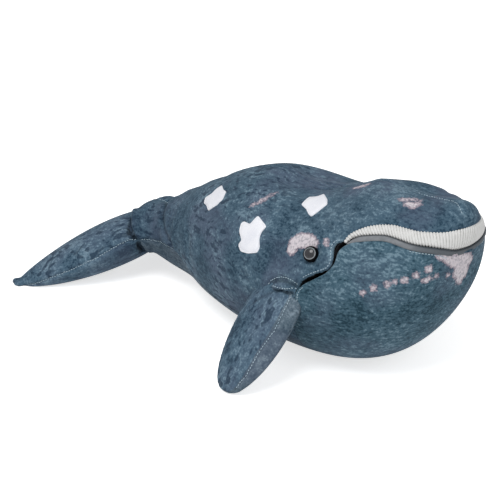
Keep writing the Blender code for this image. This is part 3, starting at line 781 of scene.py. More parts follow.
folds = (   # depth and width, then x, y and z on the right side, in mm
    (1.5, 1.7, ((147.9, -89.2, 128.4), (153.7, -88.5, 128.3), (159.7, -88.1, 128.7),
                (163.7, -86, 128.3))),
    (1.3, 1.7, ((150.5, -90, 127.2), (155, -90.2, 126), (161.5, -88.5, 123.9))),
    (0.9, 2.2, ((146, -91, 121), (153, -91.5, 119.5))),
    (3.0, 1.9, ((76, 8.6, 170), (82, 9.2, 170), (89, 9.6, 170), (96, 8.5, 171), (101, 6, 172))),
    (1.5, 1.7, ((91, 1.6, 172), (97, 0, 172.3), (103, -3, 173))),
    (2.4, 3.2, ((-156, -1, 94), (-148, -11, 95), (-138, -21, 94), (-132.5, -29, 90),
                (-126, -37, 85), (-118, -42, 79), (-110, -46, 72), (-102, -49, 65))),
    (0.9, 3.2, ((196, -54, 173), (204, -45, 178.5), (212, -36, 183.5))),
    (1.5, 3.5, ((-104, -40, 95), (-103, -46, 80), (-101, -48, 62), (-98, -47, 45))),
    (1.1, 4.0, ((-128, -38, 74), (-126, -41, 60), (-124, -38, 44))),
    (1.2, 6.0, ((-60, -68, 96), (-52, -76, 70), (-50, -76, 50))),
    (0.9, 5.0, ((60, -92, 60), (75, -97, 48), (90, -98, 34))),
    (1.3, 1.3, ((134, -59.5, 161), (146, -65, 159.9), (158, -70, 157.5), (168, -73, 155))),
    (1.2, 1.6, ((149, -56, 167.5), (160, -60.5, 166.5), (170, -63, 165.6))),
    (1.4, 1.5, shoulderArc),
    (2.6, 2.8, ((98, -103, 88), (101, -101.5, 92.5), (105.5, -100.5, 97.5), (110, -99, 100.5),
                (116, -98, 102.3), (123, -97.5, 103), (130, -97.5, 102.6), (136, -97, 101.5))),
    (3.0, 1.9, ((104, -105, 87), (110, -103, 90.5), (118, -101.5, 93), (126, -100.5, 94.2),
                (133, -99, 94.5))))
for depth, width, points in folds:
    line = resampled(np.array(points) * mm, press["step"])
    for flip in (1, -1):
        line = snapped(line * (1, flip, 1))[0]
        pressAlong(bodySkin, line, depth * mm, width * mm, 0, 1, 0.25 * depth * mm)
for flip in (1, -1):
    for shift, kind in (((6, 2, 0), "stockLip"), ((-1, 0, 0), "stockGroove")):
        line = resampled((stockCrease + shift) * (mm, flip * mm, mm), press["step"])
        pressAlong(bodySkin, snapped(line)[0], *press[kind])
# a soft ridge of cloth between the shoulder seam and the flipper
shoulderRidge = np.array(((96, -106, 81), (99, -105, 86), (104, -103, 91), (110.6, -101, 94.9),
                          (120.9, -100.4, 97.9), (130.7, -100, 98.7), (136.5, -98, 98.5))) * mm
for flip in (1, -1):
    line = resampled(shoulderRidge, press["step"]) * (1, flip, 1)
    pressAlong(bodySkin, line, *press["shoulderRidge"])
# the cloth sinks a little round each eye
eyeLook = {"radius": 7.8 * mm, "dome": 5.4 * mm, "rim": 0.6 * mm, "steps": 40, "domeSteps": 14,
           "place": (144.2 * mm, 134.6 * mm), "dent": 1.9 * mm, "dentWidth": 2.6 * mm,
           # the eye turns partly from the cloth's normal towards this way
           "way": (0.656, 0.656, 0.375), "turn": 0.9,
           "stem": ((0, -9 * mm), (2 * mm, -9 * mm), (2 * mm, -2 * mm), (7.8 * mm, -1.6 * mm))}
for side in (-1, 1):
    point, normal = onSide(*eyeLook["place"], side)
    places, normals = placesOf(bodySkin)
    gap = np.linalg.norm(places - point, axis=1) - eyeLook["radius"]
    places -= normals * (eyeLook["dent"] * hill(gap, eyeLook["dentWidth"]))[:, None]
    setPlaces(bodySkin, places)
restOnFloor(bodySkin)
bodyTree = treeOf(bodySkin)
bm = toBmesh(bodySkin)
mouthLines = [sideCurve(line[::2], side) for line in (trunkEdge, jawEdge) for side in (-1, 1)]
refine(bm, mouthLines, mouth["reach"], mouth["cuts"])
print("body seams pressed:", len(bm.faces), "faces")

# The trunk keeps what is above the mouth line, the jaw what is below it
trunkSkin, jawSkin = bm.copy(), bm.copy()
bm.free()
for skin, edge in ((trunkSkin, trunkEdge), (jawSkin, jawEdge)):
    cutBelow(skin, edge, mouth["turn"], skin is trunkSkin)
    rollEdge(skin, bodyTree, rollAt, body["wall"], 1)


# Where the colour is painted paler or darker, as painted light and shade: paler high on the jaw,
# under it, on the hump and on the head above the mouth's corner, darker on the chin, the jaw's side
# and the tail stock: x, y, z and reach in mm, then how much
lightAndShadeAreas = ((200, -80, 146, 26, 0.10), (228, -66, 142, 24, 0.12), (195, -62, 14, 34, 0.12),
              (230, -50, 40, 26, 0.08), (252, -30, 90, 28, -0.08), (205, -80, 85, 30, -0.05),
              (62, -62, 150, 36, 0.07), (160, -66, 160, 26, 0.05),
              (-135, -38, 70, 30, -0.13), (-170, -30, 70, 22, -0.10))


def paintedLightAndShade(places):
    total = np.zeros(len(places))
    for x, y, z, reach, amount in lightAndShadeAreas:
        for flip in (1, -1):
            total += amount * hillAt(places, x, y * flip, z, reach)
    return total


def bodyPart(name, skin, finish, cuts, marks, flip, nodes):
    bm = skin.copy()
    for cut in cuts:
        if cut in ("above", "below"):
            cutBelow(bm, bellyLine, 0, cut == "above")
        else:
            cutPlane(bm, *cut)
    piece = toPiece(name, bm, finish)
    piece.data.materials.append(blackLining)
    thicken(piece, body["thick"])
    places, _ = placesOf(piece)
    keepValues(piece, "cloth", places)
    keepValues(piece, "mark", markAway(places, marks, flip))
    # the area attribute holds the painted light and shade
    keepValues(piece, "area", paintedLightAndShade(places))
    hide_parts(*nodes)
    return piece


rightHalf, leftHalf = ((0, 0, 0), (0, -1, 0)), ((0, 0, 0), (0, 1, 0))
stockStart = (body["stockStart"], 0, 0)
ahead, behind = (stockStart, (1, 0, 0)), (stockStart, (-1, 0, 0))
for name, finish, cuts, marks, flip, slot, nodes in (
        ("back_plush_right", backPlush, (rightHalf, "above", ahead), backMarks + rightMarks, 1,
         "slate_plush", ("back_panel_right", "trunk_stuffing")),
        ("back_plush_left", backPlush, (leftHalf, "above", ahead), backMarks + leftMarks, -1,
         "slate_plush", ("back_panel_left",)),
        ("belly_plush", greyPlush, ("below", ahead), (), 1, "grey_plush", ("belly_panel",)),
        ("stock_plush_back", backPlush, ("above", behind), (), 1, "slate_plush",
         ("tail_stock_back", "tail_stock_stuffing")),
        ("stock_plush_belly", greyPlush, ("below", behind), (), 1, "grey_plush",
         ("tail_stock_belly",))):
    piece = bodyPart(name, trunkSkin, finish, cuts, marks, flip, nodes)
    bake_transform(piece)
jawPiece = bodyPart("jaw_plush", jawSkin, jawPlush, (), jawMarks, 1,
                    ("jaw_skin", "jaw_stuffing"))
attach(jawPiece, "jaw")
trunkSkin.free()
jawSkin.free()
print("body panels cut")


# Baleen band and lip binding: lines from the right corner of the mouth round to the left one
def halfMouth(line, side):
    line = np.array(line)
    centre, flank = mouth["centre"], line[line[:, 0] <= mouth["frontFrom"]]
    curve = [onSide(x, z, side)[0] for x, z in resampled(flank, mouth["step"])]
    z = curve[-1].z
    first = math.atan2(curve[-1].y, curve[-1].x - centre)
    for angle in np.linspace(first, 0, mouth["frontSteps"])[1:]:
        way = Vector((math.cos(angle), math.sin(angle), 0))
        for _ in range(8):
            place = bodyTree.ray_cast(Vector((centre, 0, z)), way)[0]
            z = 0.5 * z + 0.5 * float(np.interp(place.x, line[:, 0], line[:, 1]))
        curve.append(place)
    return [tuple(place) for place in curve]


def mouthCurve(line, count):
    right, left = (evenly(rounded(halfMouth(line, side), mouth["frontStep"], 3), (count + 1) // 2)
                   for side in (-1, 1))
    return snapped(np.concatenate((right, left[::-1][1:])))


band = {"ribPitch": 2.9 * mm, "ribDepth": 0.6 * mm, "perRib": 6, "rows": 8, "bulge": 2.3 * mm,
        "taper": 16 * mm, "scallop": 0.7 * mm, "back": 2.2 * mm, "tuck": 0.6 * mm}
roughRun = runOf(mouthCurve(lipLine, 201)[0])[-1]
count = int(roughRun / band["ribPitch"]) * band["perRib"] + 1
count += 1 - count % 2
lows, lowNormals = mouthCurve(lipLine, count)
highs, highNormals = mouthCurve(bandTopLine, count)
along = runOf((lows + highs) / 2)
band["ribPitch"] = along[-1] / round(along[-1] / band["ribPitch"])
rings, alongs = [], []
for low, high, lowNormal, highNormal, run in zip(lows, highs, lowNormals, highNormals, along):
    wave = 0.5 - 0.5 * math.cos(2 * math.pi * run / band["ribPitch"])
    share = min(1, 0.35 + min(run, along[-1] - run) / band["taper"])
    up = (high - low) / np.linalg.norm(high - low)
    face, back = [], []
    for j in range(band["rows"] + 1):
        t = j / band["rows"]
        crown = math.sin(math.pi * t)
        normal = lowNormal * (1 - t) + highNormal * t
        proud = share * band["bulge"] * crown ** 0.6 - band["ribDepth"] * (1 - wave)
        place = low * (1 - t) + high * t + up * band["scallop"] * (wave - 0.3) * (2 * t - 1)
        tuck = band["tuck"] if j in (0, band["rows"]) else 0
        face.append(tuple(place + normal * (proud - tuck)))
        back.append(tuple(place + normal * (0.3 * proud - band["back"])))
    rings.append(face + back[::-1])
    alongs += [run] * (2 * band["rows"] + 2)
bandPiece = toPiece("baleen_ribbed_band", loft(rings), ribbedKnit())
keepValues(bandPiece, "along", alongs)
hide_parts("baleen_band")
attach(bandPiece, "trunk")

binding = {"half": 3.0 * mm, "proud": 1.7 * mm, "back": 2.4 * mm, "sides": 16, "taper": 14 * mm,
           "darkFrom": 225 * mm, "darkOver": 25 * mm}
middles, normals = mouthCurve(bindLine, 221)
run = runOf(middles)
rings, across, front = [], [], []
for i, (place, normal) in enumerate(zip(middles, normals)):
    way = middles[min(i + 1, len(middles) - 1)] - middles[max(i - 1, 0)]
    up = np.cross(normal, way)
    up *= math.copysign(1, up[2]) / np.linalg.norm(up)
    share = 0.2 + 0.8 * min(1, min(run[i], run[-1] - run[i]) / binding["taper"])
    ring = []
    for k in range(binding["sides"]):
        turn = 2 * math.pi * k / binding["sides"]
        out = math.sin(turn)
        groove = 1 - 0.35 * math.exp(-((math.cos(turn) - 0.35) / 0.16) ** 2)
        lift = binding["back"] * out
        if out > 0:
            lift = binding["proud"] * share * groove * abs(out) ** 0.8
        ring.append(tuple(place + up * binding["half"] * share * math.cos(turn) + normal * lift))
        across.append(math.cos(turn))
        front.append(np.clip((place[0] - binding["darkFrom"]) / binding["darkOver"], 0, 1))
    rings.append(ring)
bindPiece = toPiece("lower_lip_binding", loft(rings), bindingTape())
keepValues(bindPiece, "across", across)
keepValues(bindPiece, "front", front)
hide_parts("lip_piping")
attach(bindPiece, "jaw")
print("band and binding wrapped:", round(along[-1] / band["ribPitch"]), "ribs")


# Black linings across the mouth, and the gusset that joins trunk and jaw below the cheeks
lining = {"apart": 3.0 * mm, "inset": 4.5 * mm, "lipInset": 2.6 * mm, "lip": (120 * mm, 150 * mm),
          "low": 3 * mm, "last": 261.5 * mm, "thick": 1.0 * mm, "step": 4 * mm, "across": 14}


def areaOf(bm):
    bmesh.ops.recalc_face_normals(bm, faces=bm.faces)
    return sum(face.calc_area() for face in bm.faces)


def sewnSheet(piece, flat, area, slot, on, *nodes):
    if nodes:
        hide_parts(*nodes)


def liningSheet(name, distance, node, bodyName, on):
    side = (cheekLine + evenly(jawLine, len(cheekLine))) / 2
    line = resampled(np.concatenate((side, lipLine)), lining["step"])
    inside = (line[:, 1] > lining["low"]) & (line[:, 0] < lining["last"])
    line = offsetLine(rounded(line[inside], lining["step"], 3), distance)
    bm = bmesh.new()
    bmesh.ops.create_grid(bm, x_segments=len(line) - 1, y_segments=lining["across"], size=1)
    widest = 0
    for vert in bm.verts:
        x, z = line[int(round((vert.co.x + 1) / 2 * (len(line) - 1)))]
        place, _ = onSide(x, z)
        inset = np.interp(z, lining["lip"], (lining["inset"], lining["lipInset"]))
        width = max(abs(place.y) - inset, 1 * mm) if place else 1 * mm
        widest = max(widest, width)
        vert.co = (x, vert.co.y * width, z)
    area = areaOf(bm)
    piece = toPiece(name, bm, blackLining)
    thicken(piece, lining["thick"])
    sewnSheet(piece, (2 * widest, runOf(line)[-1]), area, "black_lining", on, node)
    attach(piece, bodyName)


liningSheet("mouth_lining_roof", lining["apart"], "mouth_lining_upper", "trunk",
            ["back_plush_right"])
liningSheet("mouth_lining_floor", -lining["apart"], "mouth_lining_lower", "jaw", ["jaw_plush"])

gusset = {"top": 103 * mm, "middle": 60 * mm, "steps": 72, "thick": 0.8 * mm, "bend": 3.2 * mm,
          # the seam's place at the floor in mm, and how it leans
          "foot": 116.5, "lean": 0.2155,
          # across the seam and down from the surface, in mm
          "section": ((-4.2, 8.2), (-2.6, 9.4), (-1.2, 13), (0, 14.5), (1.2, 13), (2.6, 9.4),
                      (4.2, 8.2))}
seamWay = Vector((cheekLine[20][0] - cheekLine[0][0], 0, cheekLine[20][1] - cheekLine[0][1]))
seamWay.normalize()
seamSide = Vector((seamWay.z, 0, -seamWay.x))
topX = float(np.interp(gusset["top"], cheekLine[:, 1], cheekLine[:, 0]))
topPlace, _ = onSide(topX, gusset["top"])
firstAngle = math.atan2(topPlace.z - gusset["middle"], -abs(topPlace.y))
rings = []
for angle in np.linspace(math.pi - firstAngle, 2 * math.pi + firstAngle, gusset["steps"]):
    z = gusset["middle"]
    for _ in range(10):
        x = (gusset["foot"] + gusset["lean"] * z / mm) * mm
        place, normal, _, _ = bodyTree.ray_cast(
            Vector((x, 0, gusset["middle"])), Vector((0, math.cos(angle), math.sin(angle))))
        z = 0.5 * z + 0.5 * place.z
    normal = (normal - seamSide * normal.dot(seamSide)).normalized()
    rings.append([tuple(place + seamSide * a * mm - normal * d * mm) for a, d in gusset["section"]])
bm = loft(rings, closed=False)
area = areaOf(bm)
width = runOf(np.array(rings[0]))[-1]
throat = toPiece("throat_gusset", bm, blackLining)
thicken(throat, gusset["thick"])
sewnSheet(throat, (width, area / width), area, "black_lining", ["back_plush_right", "jaw_plush"])
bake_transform(throat)
print("mouth lined")


# Flippers and flukes: each is stuffed in one piece, then cut into panels along its seam
def limbRings(look, sides=16):
    rings = []
    for along, centre, chord, thick, lift in look["rows"]:
        ring = []
        for i in range(sides):
            turn = 2 * math.pi * i / sides
            x = (centre + chord * look["grow"] * math.cos(turn)) * look["halfChord"]
            z = thick * look["grow"] * math.sin(turn) * abs(math.sin(turn)) ** 0.15
            ring.append((x, -along * look["length"], z * look["halfThick"] + lift * mm))
        rings.append(ring)
    return rings


def seamAt(look, along):
    # the seam's place on the leading side, and the trailing edge, at a share of the length
    rows, seam = np.array(look["rows"]), np.array(look["seam"])
    centre, chord, thick, lift = (np.interp(along, rows[:, 0], rows[:, i]) for i in (1, 2, 3, 4))
    across, up = (np.interp(along, seam[:, 0], seam[:, i]) for i in (1, 2))
    front = (centre + across * chord) * look["halfChord"]
    back = (centre - chord) * look["halfChord"]
    return front, up * thick * look["halfThick"], back, lift * mm


def limbForm(name, look):
    form = toPiece(name, loft(limbRings(look)))
    subdivide(form, 3)
    places, _ = placesOf(form)
    held = abs(places[:, 2]) < limb["hold"]
    held |= places[:, 1] > -look["rows"][0][0] * look["length"] - limb["rootHold"]
    puff(form, look["bending"], look["cap"], np.nonzero(held)[0])
    subdivide(form, 1)
    tree = treeOf(form)
    alongs = np.linspace(look["rows"][0][0] + 0.02, look["rows"][-1][0] - 0.01, 60)
    lead, trail = [], []
    for along in alongs:
        front, up, back, lift = seamAt(look, along)
        for line, x, z in ((lead, front, up + lift), (trail, back, lift)):
            line.append(tuple(tree.find_nearest(Vector((x, -along * look["length"], z)))[0]))
    for line in (lead, trail):
        pressAlong(form, np.array(line), look["seamDepth"], look["seamWidth"], 0.35,
                   limb["pucker"], 0.35 * look["seamDepth"])
    for depth, width, points in look["folds"]:
        line = [tuple(tree.find_nearest(Vector(point) * mm)[0]) for point in points]
        pressAlong(form, resampled(line, limb["step"]), depth * mm, width * mm, 0, 1,
                   0.3 * depth * mm)
    return form, lead


def levelSeam(bm, look, way):
    # way -1 lays the seam in the plane z = 0, and way 1 puts it back
    for vert in bm.verts:
        front, up, back, lift = seamAt(look, -vert.co.y / look["length"])
        vert.co.z += way * (lift + up * (vert.co.x - back) / (front - back))


def limbHalf(form, name, upper, finish, look, place, mirror, extra=None):
    bm = toBmesh(form)
    levelSeam(bm, look, -1)
    cutPlane(bm, (0, 0, 0), (0, 0, 1 if upper else -1))
    levelSeam(bm, look, 1)
    bmesh.ops.transform(bm, matrix=place, verts=bm.verts)
    if extra:
        cutPlane(bm, *extra)
    if mirror:
        bmesh.ops.scale(bm, vec=(1, -1, 1), verts=bm.verts)
        bmesh.ops.reverse_faces(bm, faces=bm.faces)
    piece = toPiece(name, bm, finish)
    restOnFloor(piece)
    thicken(piece, limb["thick"], limb["least"])
    places, _ = placesOf(piece)
    back = np.array(place.inverted())
    local = (places * (1, -1 if mirror else 1, 1)) @ back[:3, :3].T + back[:3, 3]
    # a shift for each piece, so that no two show the same flecks
    keepValues(piece, "cloth", local + (0.5 if mirror else 0.0) + (0.0 if upper else 0.2))
    return piece


def limbPieces(kind, form, look, place, finishes, slots, blends, extra=None):
    for side, flip in sides:
        for part, finish, slot in zip(("upper", "lower"), finishes, slots):
            piece = limbHalf(form, f"{kind}_plush_{side}_{part}", part == "upper", finish, look,
                             place, flip < 0, extra)
            inside = (f"{kind}_{side}_stuffing",) if part == "upper" else ()
            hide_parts(f"{kind}_{side}_{part}", *inside)
            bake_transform(piece)


sides = (("right", 1), ("left", -1))
limb = {"thick": 1.4 * mm, "least": 0.2, "hold": 0.5 * mm, "rootHold": 4 * mm,
        "pucker": 8 * mm, "step": 2 * mm}
flipper = {
    "length": 123 * mm, "halfChord": 41 * mm, "halfThick": 14.5 * mm, "grow": 0.985,
    # place along, centre, half chord, half thickness, lift in mm
    "rows": ((-0.16, 0.00, 0.68, 0.80, 0), (0.36, 0.04, 1.00, 1.04, 0), (0.78, 0.06, 0.74, 0.80, 0),
             (0.985, 0.04, 0.31, 0.32, 0)),
    "seam": ((-0.2, 0.66, 0.70), (0.6, 0.62, 0.74), (0.85, 0.70, 0.60), (1.0, 0.85, 0.30)),
    "folds": ((2.0, 2.2, ((-18, -33, 12), (-7.6, -21, 13), (2.6, -11, 13), (17.4, -7, 11))),
              (1.2, 2.4, ((-8, -32, 13.6), (1.5, -20, 13.5), (14, -15, 11.5)))),
    "droop": 49.7, "sweep": 4, "seamDepth": 1.0 * mm, "seamWidth": 1.6 * mm,
    "bendBefore": 4 * mm, "bendAfter": 30 * mm,
    "bending": 0.4, "cap": 1.5 * mm,
}
hingePoint = Vector((109.841, -96.898, 102.044)) * mm
turnOut = math.atan2(-0.054033, 0.998539)
flipperPlace = (
    Matrix.Translation(hingePoint)
    @ Matrix.Rotation(turnOut - math.radians(flipper["sweep"]), 4, "Z")
    @ Matrix.Rotation(math.radians(flipper["droop"]), 4, "X")
    @ Matrix.Translation((0, 0, -flipper["halfThick"])))
flipperForm, flipperSeam = limbForm("flipper_form", flipper)
flipperTree = treeOf(flipperForm)
flipperWay = flipperPlace.to_3x3() @ Vector((0, -1, 0))
flipperBlends = {}
for side, flip in sides:
    mirror = Matrix.Diagonal((1, flip, 1))
    flipperBlends[side] = ("trunk", f"flipper_{side}", {
        "start": tuple(mirror @ (hingePoint - flipperWay * flipper["bendBefore"])),
        "end": tuple(mirror @ (hingePoint + flipperWay * flipper["bendAfter"]))})
limbPieces("flipper", flipperForm, flipper, flipperPlace, (limbPlush, greyPlush),
           ("slate_plush", "slate_plush"), flipperBlends)

fluke = {
    "length": 171 * mm, "halfChord": 45 * mm, "halfThick": 25 * mm, "grow": 1.02,
    "rows": ((-0.06, 0.00, 0.80, 0.86, 2), (0.16, 0.02, 1.04, 1.10, 1.5),
             (0.48, 0.04, 0.99, 1.03, -0.8), (0.78, -0.08, 0.59, 0.63, -3.6),
             (0.91, -0.22, 0.33, 0.36, -6), (0.94, -0.27, 0.18, 0.24, -6),
             (0.97, -0.32, 0.26, 0.34, -6), (0.997, -0.34, 0.20, 0.26, -6)),
    "seam": ((-0.1, 0.94, 0.22), (0.3, 0.95, 0.22), (0.57, 0.98, 0.0), (0.75, 0.96, -0.12),
             (0.9, 0.88, -0.3), (1.03, 0.86, -0.3)),
    "folds": ((1.2, 2.5, ((-10, -6, 26), (4, -14, 26), (22, -20, 22))),
              (0.9, 2.5, ((30, -18, -14), (36, -26, -8), (40, -30, -2)))),
    "creaseDepth": 7.0 * mm, "creaseWidth": 2.8 * mm,
    "root": Vector((-186.05, 0, 46.95)) * mm, "sweep": 21, "droop": 13.5, "pitch": -14,
    "seamDepth": 1.1 * mm, "seamWidth": 1.7 * mm,
    "bending": 0.4, "cap": 1.5 * mm,
}
flukePlace = (
    Matrix.Translation(fluke["root"]) @ Matrix.Rotation(math.radians(-fluke["sweep"]), 4, "Z")
    @ Matrix.Rotation(math.radians(fluke["droop"]), 4, "X")
    @ Matrix.Rotation(math.radians(fluke["pitch"]), 4, "Y"))
flukeForm, flukeSeam = limbForm("fluke_form", fluke)
crease = resampled([tuple(flukePlace.inverted() @ (Vector(p) * mm)) for p in stockCrease],
                   limb["step"])
pressAlong(flukeForm, crease, fluke["creaseDepth"], fluke["creaseWidth"])
flukeBlend = ("tail_stock", "flukes",
              {"start": (-160 * mm, 0, 57 * mm), "end": (-186 * mm, 0, 57 * mm)})
limbPieces("fluke", flukeForm, fluke, flukePlace, (limbPlush, limbPlush),
           ("slate_plush", "grey_plush"), dict.fromkeys(("right", "left"), flukeBlend), rightHalf)
print("limbs stuffed")


# Stitches: small beads of thread, a few faces each, laid along the seams
stitch = {"pitch": 3.0 * mm, "long": 1.25 * mm, "wide": 0.46 * mm, "proud": 0.25 * mm,
          # where the rows run, in x, and in z for the jaw's side
          "snout": (200 * mm, 1), "stock": (-176 * mm, -118 * mm), "cheek": 139.5 * mm,
          "belly": (-160 * mm, -88 * mm), "jawSide": (86 * mm, 103 * mm),
          "lip": (232 * mm, 262 * mm), "underJaw": -2.4 * mm, "underLip": -3.6 * mm}


def between(line, axis, span):
    return line[(line[:, axis] > span[0]) & (line[:, axis] < span[1])]


def stitchRow(bm, tree, line, place=Matrix(), flip=1):
    line = resampled(np.array(line), stitch["pitch"])
    ways = np.gradient(line, axis=0)
    for spot, way in zip(line, ways):
        at, normal, _, _ = tree.find_nearest(Vector(spot))
        normal = (place.to_3x3() @ normal).normalized()
        way = (place.to_3x3() @ Vector(way)).normalized()
        side = normal.cross(way).normalized()
        frame = Matrix((way * stitch["long"], side * stitch["wide"],
                        normal * stitch["wide"])).transposed().to_4x4()
        frame.translation = place @ at + normal * stitch["proud"]
        made = bmesh.ops.create_icosphere(bm, subdivisions=1, radius=1, matrix=frame)["verts"]
        if flip < 0:
            bmesh.ops.scale(bm, vec=(1, -1, 1), verts=made)
            faces = list({face for vert in made for face in vert.link_faces})
            bmesh.ops.reverse_faces(bm, faces=faces)


def stitchPiece(name, bm):
    piece = toPiece(name, bm, paleThread)
    return piece


bm = bmesh.new()
for part in ("snout", "stock"):
    stitchRow(bm, bodyTree, between(backSeam, 0, stitch[part]))
for side in (-1, 1):
    stitchRow(bm, bodyTree, sideCurve(cheekEdge, side, stitch["cheek"])[3:])
    stitchRow(bm, bodyTree, between(bellySeams[side], 0, stitch["belly"]))
    stitchRow(bm, bodyTree, np.array(shoulderArc) * (mm, -side * mm, mm))
    # pale beads along the crest of the shoulder ridge as well, where no seam runs
    stitchRow(bm, bodyTree, shoulderRidge[3:] * (1, -side, 1))
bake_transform(stitchPiece("stitches_trunk", bm))
bm = bmesh.new()
for side in (-1, 1):
    seam = sideCurve(offsetLine(jawLine, stitch["underJaw"]), side)
    stitchRow(bm, bodyTree, between(seam, 2, stitch["jawSide"]))
    seam = sideCurve(offsetLine(bindLine, stitch["underLip"]), side, *stitch["lip"])
    stitchRow(bm, bodyTree, seam)
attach(stitchPiece("stitches_jaw", bm), "jaw")
for side, flip in sides:
    bm = bmesh.new()
    stitchRow(bm, flipperTree, flipperSeam[8:-4], flipperPlace, flip)
    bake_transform(stitchPiece(f"stitches_flipper_{side}", bm))
bm = bmesh.new()
flukeTree = treeOf(flukeForm)
for flip in (1, -1):
    stitchRow(bm, flukeTree, flukeSeam[10:-4], flukePlace, flip)
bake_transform(stitchPiece("stitches_flukes", bm))
print("seams stitched")

# White patches: thin shapes sewn on the right flank, each with a pressed edge
patches = {
    "rear": {"centre": (-27.7, -46.3, 136.4), "normal": (-.38, -.64, .66), "outline": (
        (-7.3, 13.5), (4, 12.2), (13.3, 13.5), (19.7, 5.9), (17.2, -3.2), (7.9, -14.5), (-2, -12.6),
        (-11.3, -13.5), (-17.5, -8.9), (-10.9, -0.1), (-11.2, 7.3))},
    "middle": {"centre": (58.5, -80.6, 127.2), "normal": (-.12, -.86, .50), "outline": (
        (-16.9, 10.6), (-6.8, 10.4), (-3.6, 21.5), (14.7, 15.3), (12.7, 7.9), (14, 1.7),
        (19.9, -6.3), (19.3, -12), (6.8, -16.9), (-4.4, -18.2), (-11.1, -13.2), (-8, -7.8),
        (-17, -0.6), (-19.6, 7.5))},
    "front": {"centre": (109, -42.7, 162.7), "normal": (-.12, -.38, .92), "outline": (
        (-20.6, 4.9), (-11.8, 9.6), (-10.4, 16.7), (5.9, 11.8), (14.8, 6.6), (15.1, -5.2),
        (14, -13.4), (6.8, -12.6), (-1.3, -9.7), (-12.5, -8.7))},
    # share of the outline and height over the cloth in mm, from the edge to the middle
    "steps": ((1.0, -0.3), (1.0, 0.6), (0.975, 0.95), (0.93, 0.95), (0.91, 0.55), (0.89, 0.9),
              (0.7, 1.0), (0.45, 1.0), (0.2, 1.0), (0.02, 1.0)),
    "points": 97, "castFrom": 30 * mm, "core": 4 * mm, "thick": 0.5 * mm, "flatShare": 1.06,
}
for name in ("rear", "middle", "front"):
    patch = patches[name]
    centre, out = Vector(patch["centre"]) * mm, Vector(patch["normal"]).normalized()
    across = out.cross(Vector((0, 0, 1))).normalized()
    across *= math.copysign(1, across.x)
    up = across.cross(out)
    up *= math.copysign(1, up.z)
    loop = list(patch["outline"]) + [patch["outline"][0]]
    loop = evenly(loop, patches["points"])[:-1]
    for _ in range(2):
        loop = (np.roll(loop, 1, 0) + 2 * loop + np.roll(loop, -1, 0)) / 4
    rings = []
    for share, height in patches["steps"]:
        ring = []
        for x, z in loop * share * mm:
            spot = centre + across * x + up * z + out * patches["castFrom"]
            at, normal, _, _ = bodyTree.ray_cast(spot, -out)
            ring.append(tuple(at + normal * height * mm))
        rings.append(ring)
    bm = loft(rings, capped=False)
    inner = [edge for edge in bm.edges if edge.is_boundary
             and (edge.verts[0].co - centre).length < patches["core"]]
    bmesh.ops.contextual_create(bm, geom=inner)
    bmesh.ops.recalc_face_normals(bm, faces=bm.faces)
    bm.normal_update()
    if sum(face.normal.dot(out) for face in bm.faces) < 0:
        bmesh.ops.reverse_faces(bm, faces=bm.faces)
    area = sum(face.calc_area() for face in bm.faces)
    piece = toPiece(f"white_patch_{name}_cloth", bm, whitePlush)
    thicken(piece, patches["thick"])
    flat = np.ptp(np.array(patch["outline"]), axis=0) * mm * patches["flatShare"]
    sewnSheet(piece, tuple(flat), min(area, float(np.prod(flat))), "white_patch",
              ["back_plush_right"], f"white_patch_{name}")
    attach(piece, "trunk")
print("patches sewn on")

for form in (bodySkin, flipperForm, flukeForm):
    bpy.data.objects.remove(form, do_unlink=True)

# Eyes: a stem and a domed disc spun round the eye's axis
eyePlastic = eyeMaterial()
for name, side in (("right", -1), ("left", 1)):
    point, normal = onSide(*eyeLook["place"], side)
    outward = Vector(eyeLook["way"]) * eyeLook["turn"]
    outward.y *= side
    normal = (normal + outward).normalized()
    place = Matrix.Translation(point) @ normal.to_track_quat("Z", "Y").to_matrix().to_4x4()
    bm = bmesh.new()
    r = eyeLook["radius"]
    profile = list(eyeLook["stem"])
    for i in range(eyeLook["domeSteps"] + 1):
        turn = math.pi / 2 * i / eyeLook["domeSteps"]
        profile.append((r * math.cos(turn), eyeLook["rim"] + eyeLook["dome"] * math.sin(turn)))
    verts = [bm.verts.new((x, 0, z)) for x, z in profile]
    for low, high in zip(verts, verts[1:]):
        bm.edges.new((low, high))
    bmesh.ops.spin(bm, geom=bm.verts[:] + bm.edges[:], axis=(0, 0, 1), cent=(0, 0, 0),
                   angle=2 * math.pi, steps=eyeLook["steps"], use_merge=True)
    bmesh.ops.remove_doubles(bm, verts=bm.verts, dist=1e-6)
    bmesh.ops.recalc_face_normals(bm, faces=bm.faces)
    ring = [math.hypot(vert.co.x, vert.co.y) / r for vert in bm.verts]
    bmesh.ops.transform(bm, matrix=place, verts=bm.verts)
    eye = toPiece(f"eye_dome_{name}", bm, eyePlastic)
    keepValues(eye, "ring", ring)
    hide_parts(f"eye_{name}")
    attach(eye, "trunk")
    for kept in frame["nodes"][f"eye_washer_{name}"].material_slots:
        kept.material = washerNylon
print("eyes made")

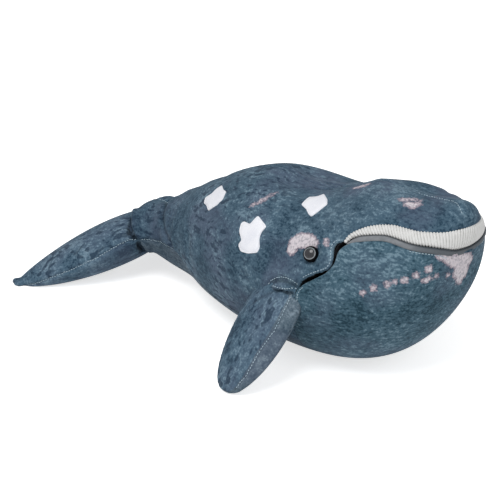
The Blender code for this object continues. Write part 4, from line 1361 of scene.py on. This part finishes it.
# Stage: a white floor that keeps the shadow, soft light, and the photo's view
stage = {"floorGlow": 0.66, "worldLight": 0.40, "floorHalf": 6,
         # place, target and size in metres, then power
         "soft_key": ((0.4, -1.4, 2.4), (0, 0, 0.08), 1.6, 42),
         "soft_fill": ((2.0, -0.4, 1.2), (0.1, 0, 0.1), 1.8, 10)}
bm = bmesh.new()
bmesh.ops.create_grid(bm, x_segments=1, y_segments=1, size=stage["floorHalf"])
ground = toPiece("floor", bm, paperFloor(), False)

camera = bpy.data.objects.new("camera", bpy.data.cameras.new("camera"))
bpy.context.scene.collection.objects.link(camera)
view = {"turn": 45, "tilt": 22, "distance": 1500 * mm, "focalPixels": 1455,
        "point": Vector((130, 0, 0)) * mm, "pixel": (356, 349), "picture": 500, "sensor": 36}
right = Vector((math.cos(math.radians(view["turn"])), math.sin(math.radians(view["turn"])), 0))
level = Vector((-right.y, right.x, 0))
tilt = math.radians(view["tilt"])
forward = level * math.cos(tilt) - Vector((0, 0, math.sin(tilt)))
upward = right.cross(forward)
half = view["picture"] / 2
across = (view["pixel"][0] - half) / view["focalPixels"]
down = (view["pixel"][1] - half) / view["focalPixels"]
camera.location = view["point"] - view["distance"] * (forward + right * across - upward * down)
camera.rotation_euler = Matrix((right, upward, -forward)).transposed().to_euler()
camera.data.sensor_width = view["sensor"]
camera.data.lens = view["focalPixels"] / view["picture"] * view["sensor"]
bpy.context.scene.camera = camera

for name in ("soft_key", "soft_fill"):
    place, target, size, power = stage[name]
    light = bpy.data.lights.new(name, "AREA")
    light.shape, light.size, light.energy = "DISK", size, power
    lamp = bpy.data.objects.new(name, light)
    bpy.context.scene.collection.objects.link(lamp)
    lamp.location = place
    lamp.rotation_euler = (Vector(target) - Vector(place)).to_track_quat("-Z", "Y").to_euler()
world = bpy.context.scene.world or bpy.data.worlds.new("studio")
bpy.context.scene.world = world
world.use_nodes = True
world.node_tree.nodes.clear()
add = partial(addNode, world.node_tree)
strength = add("MapRange", "Result", Value=seenDirectly(add), To_Min=stage["worldLight"],
               To_Max=1.0)
add("OutputWorld", Surface=add("Background", 0, Color=(1, 1, 1, 1), Strength=strength))
bpy.context.scene.view_settings.view_transform = "Standard"
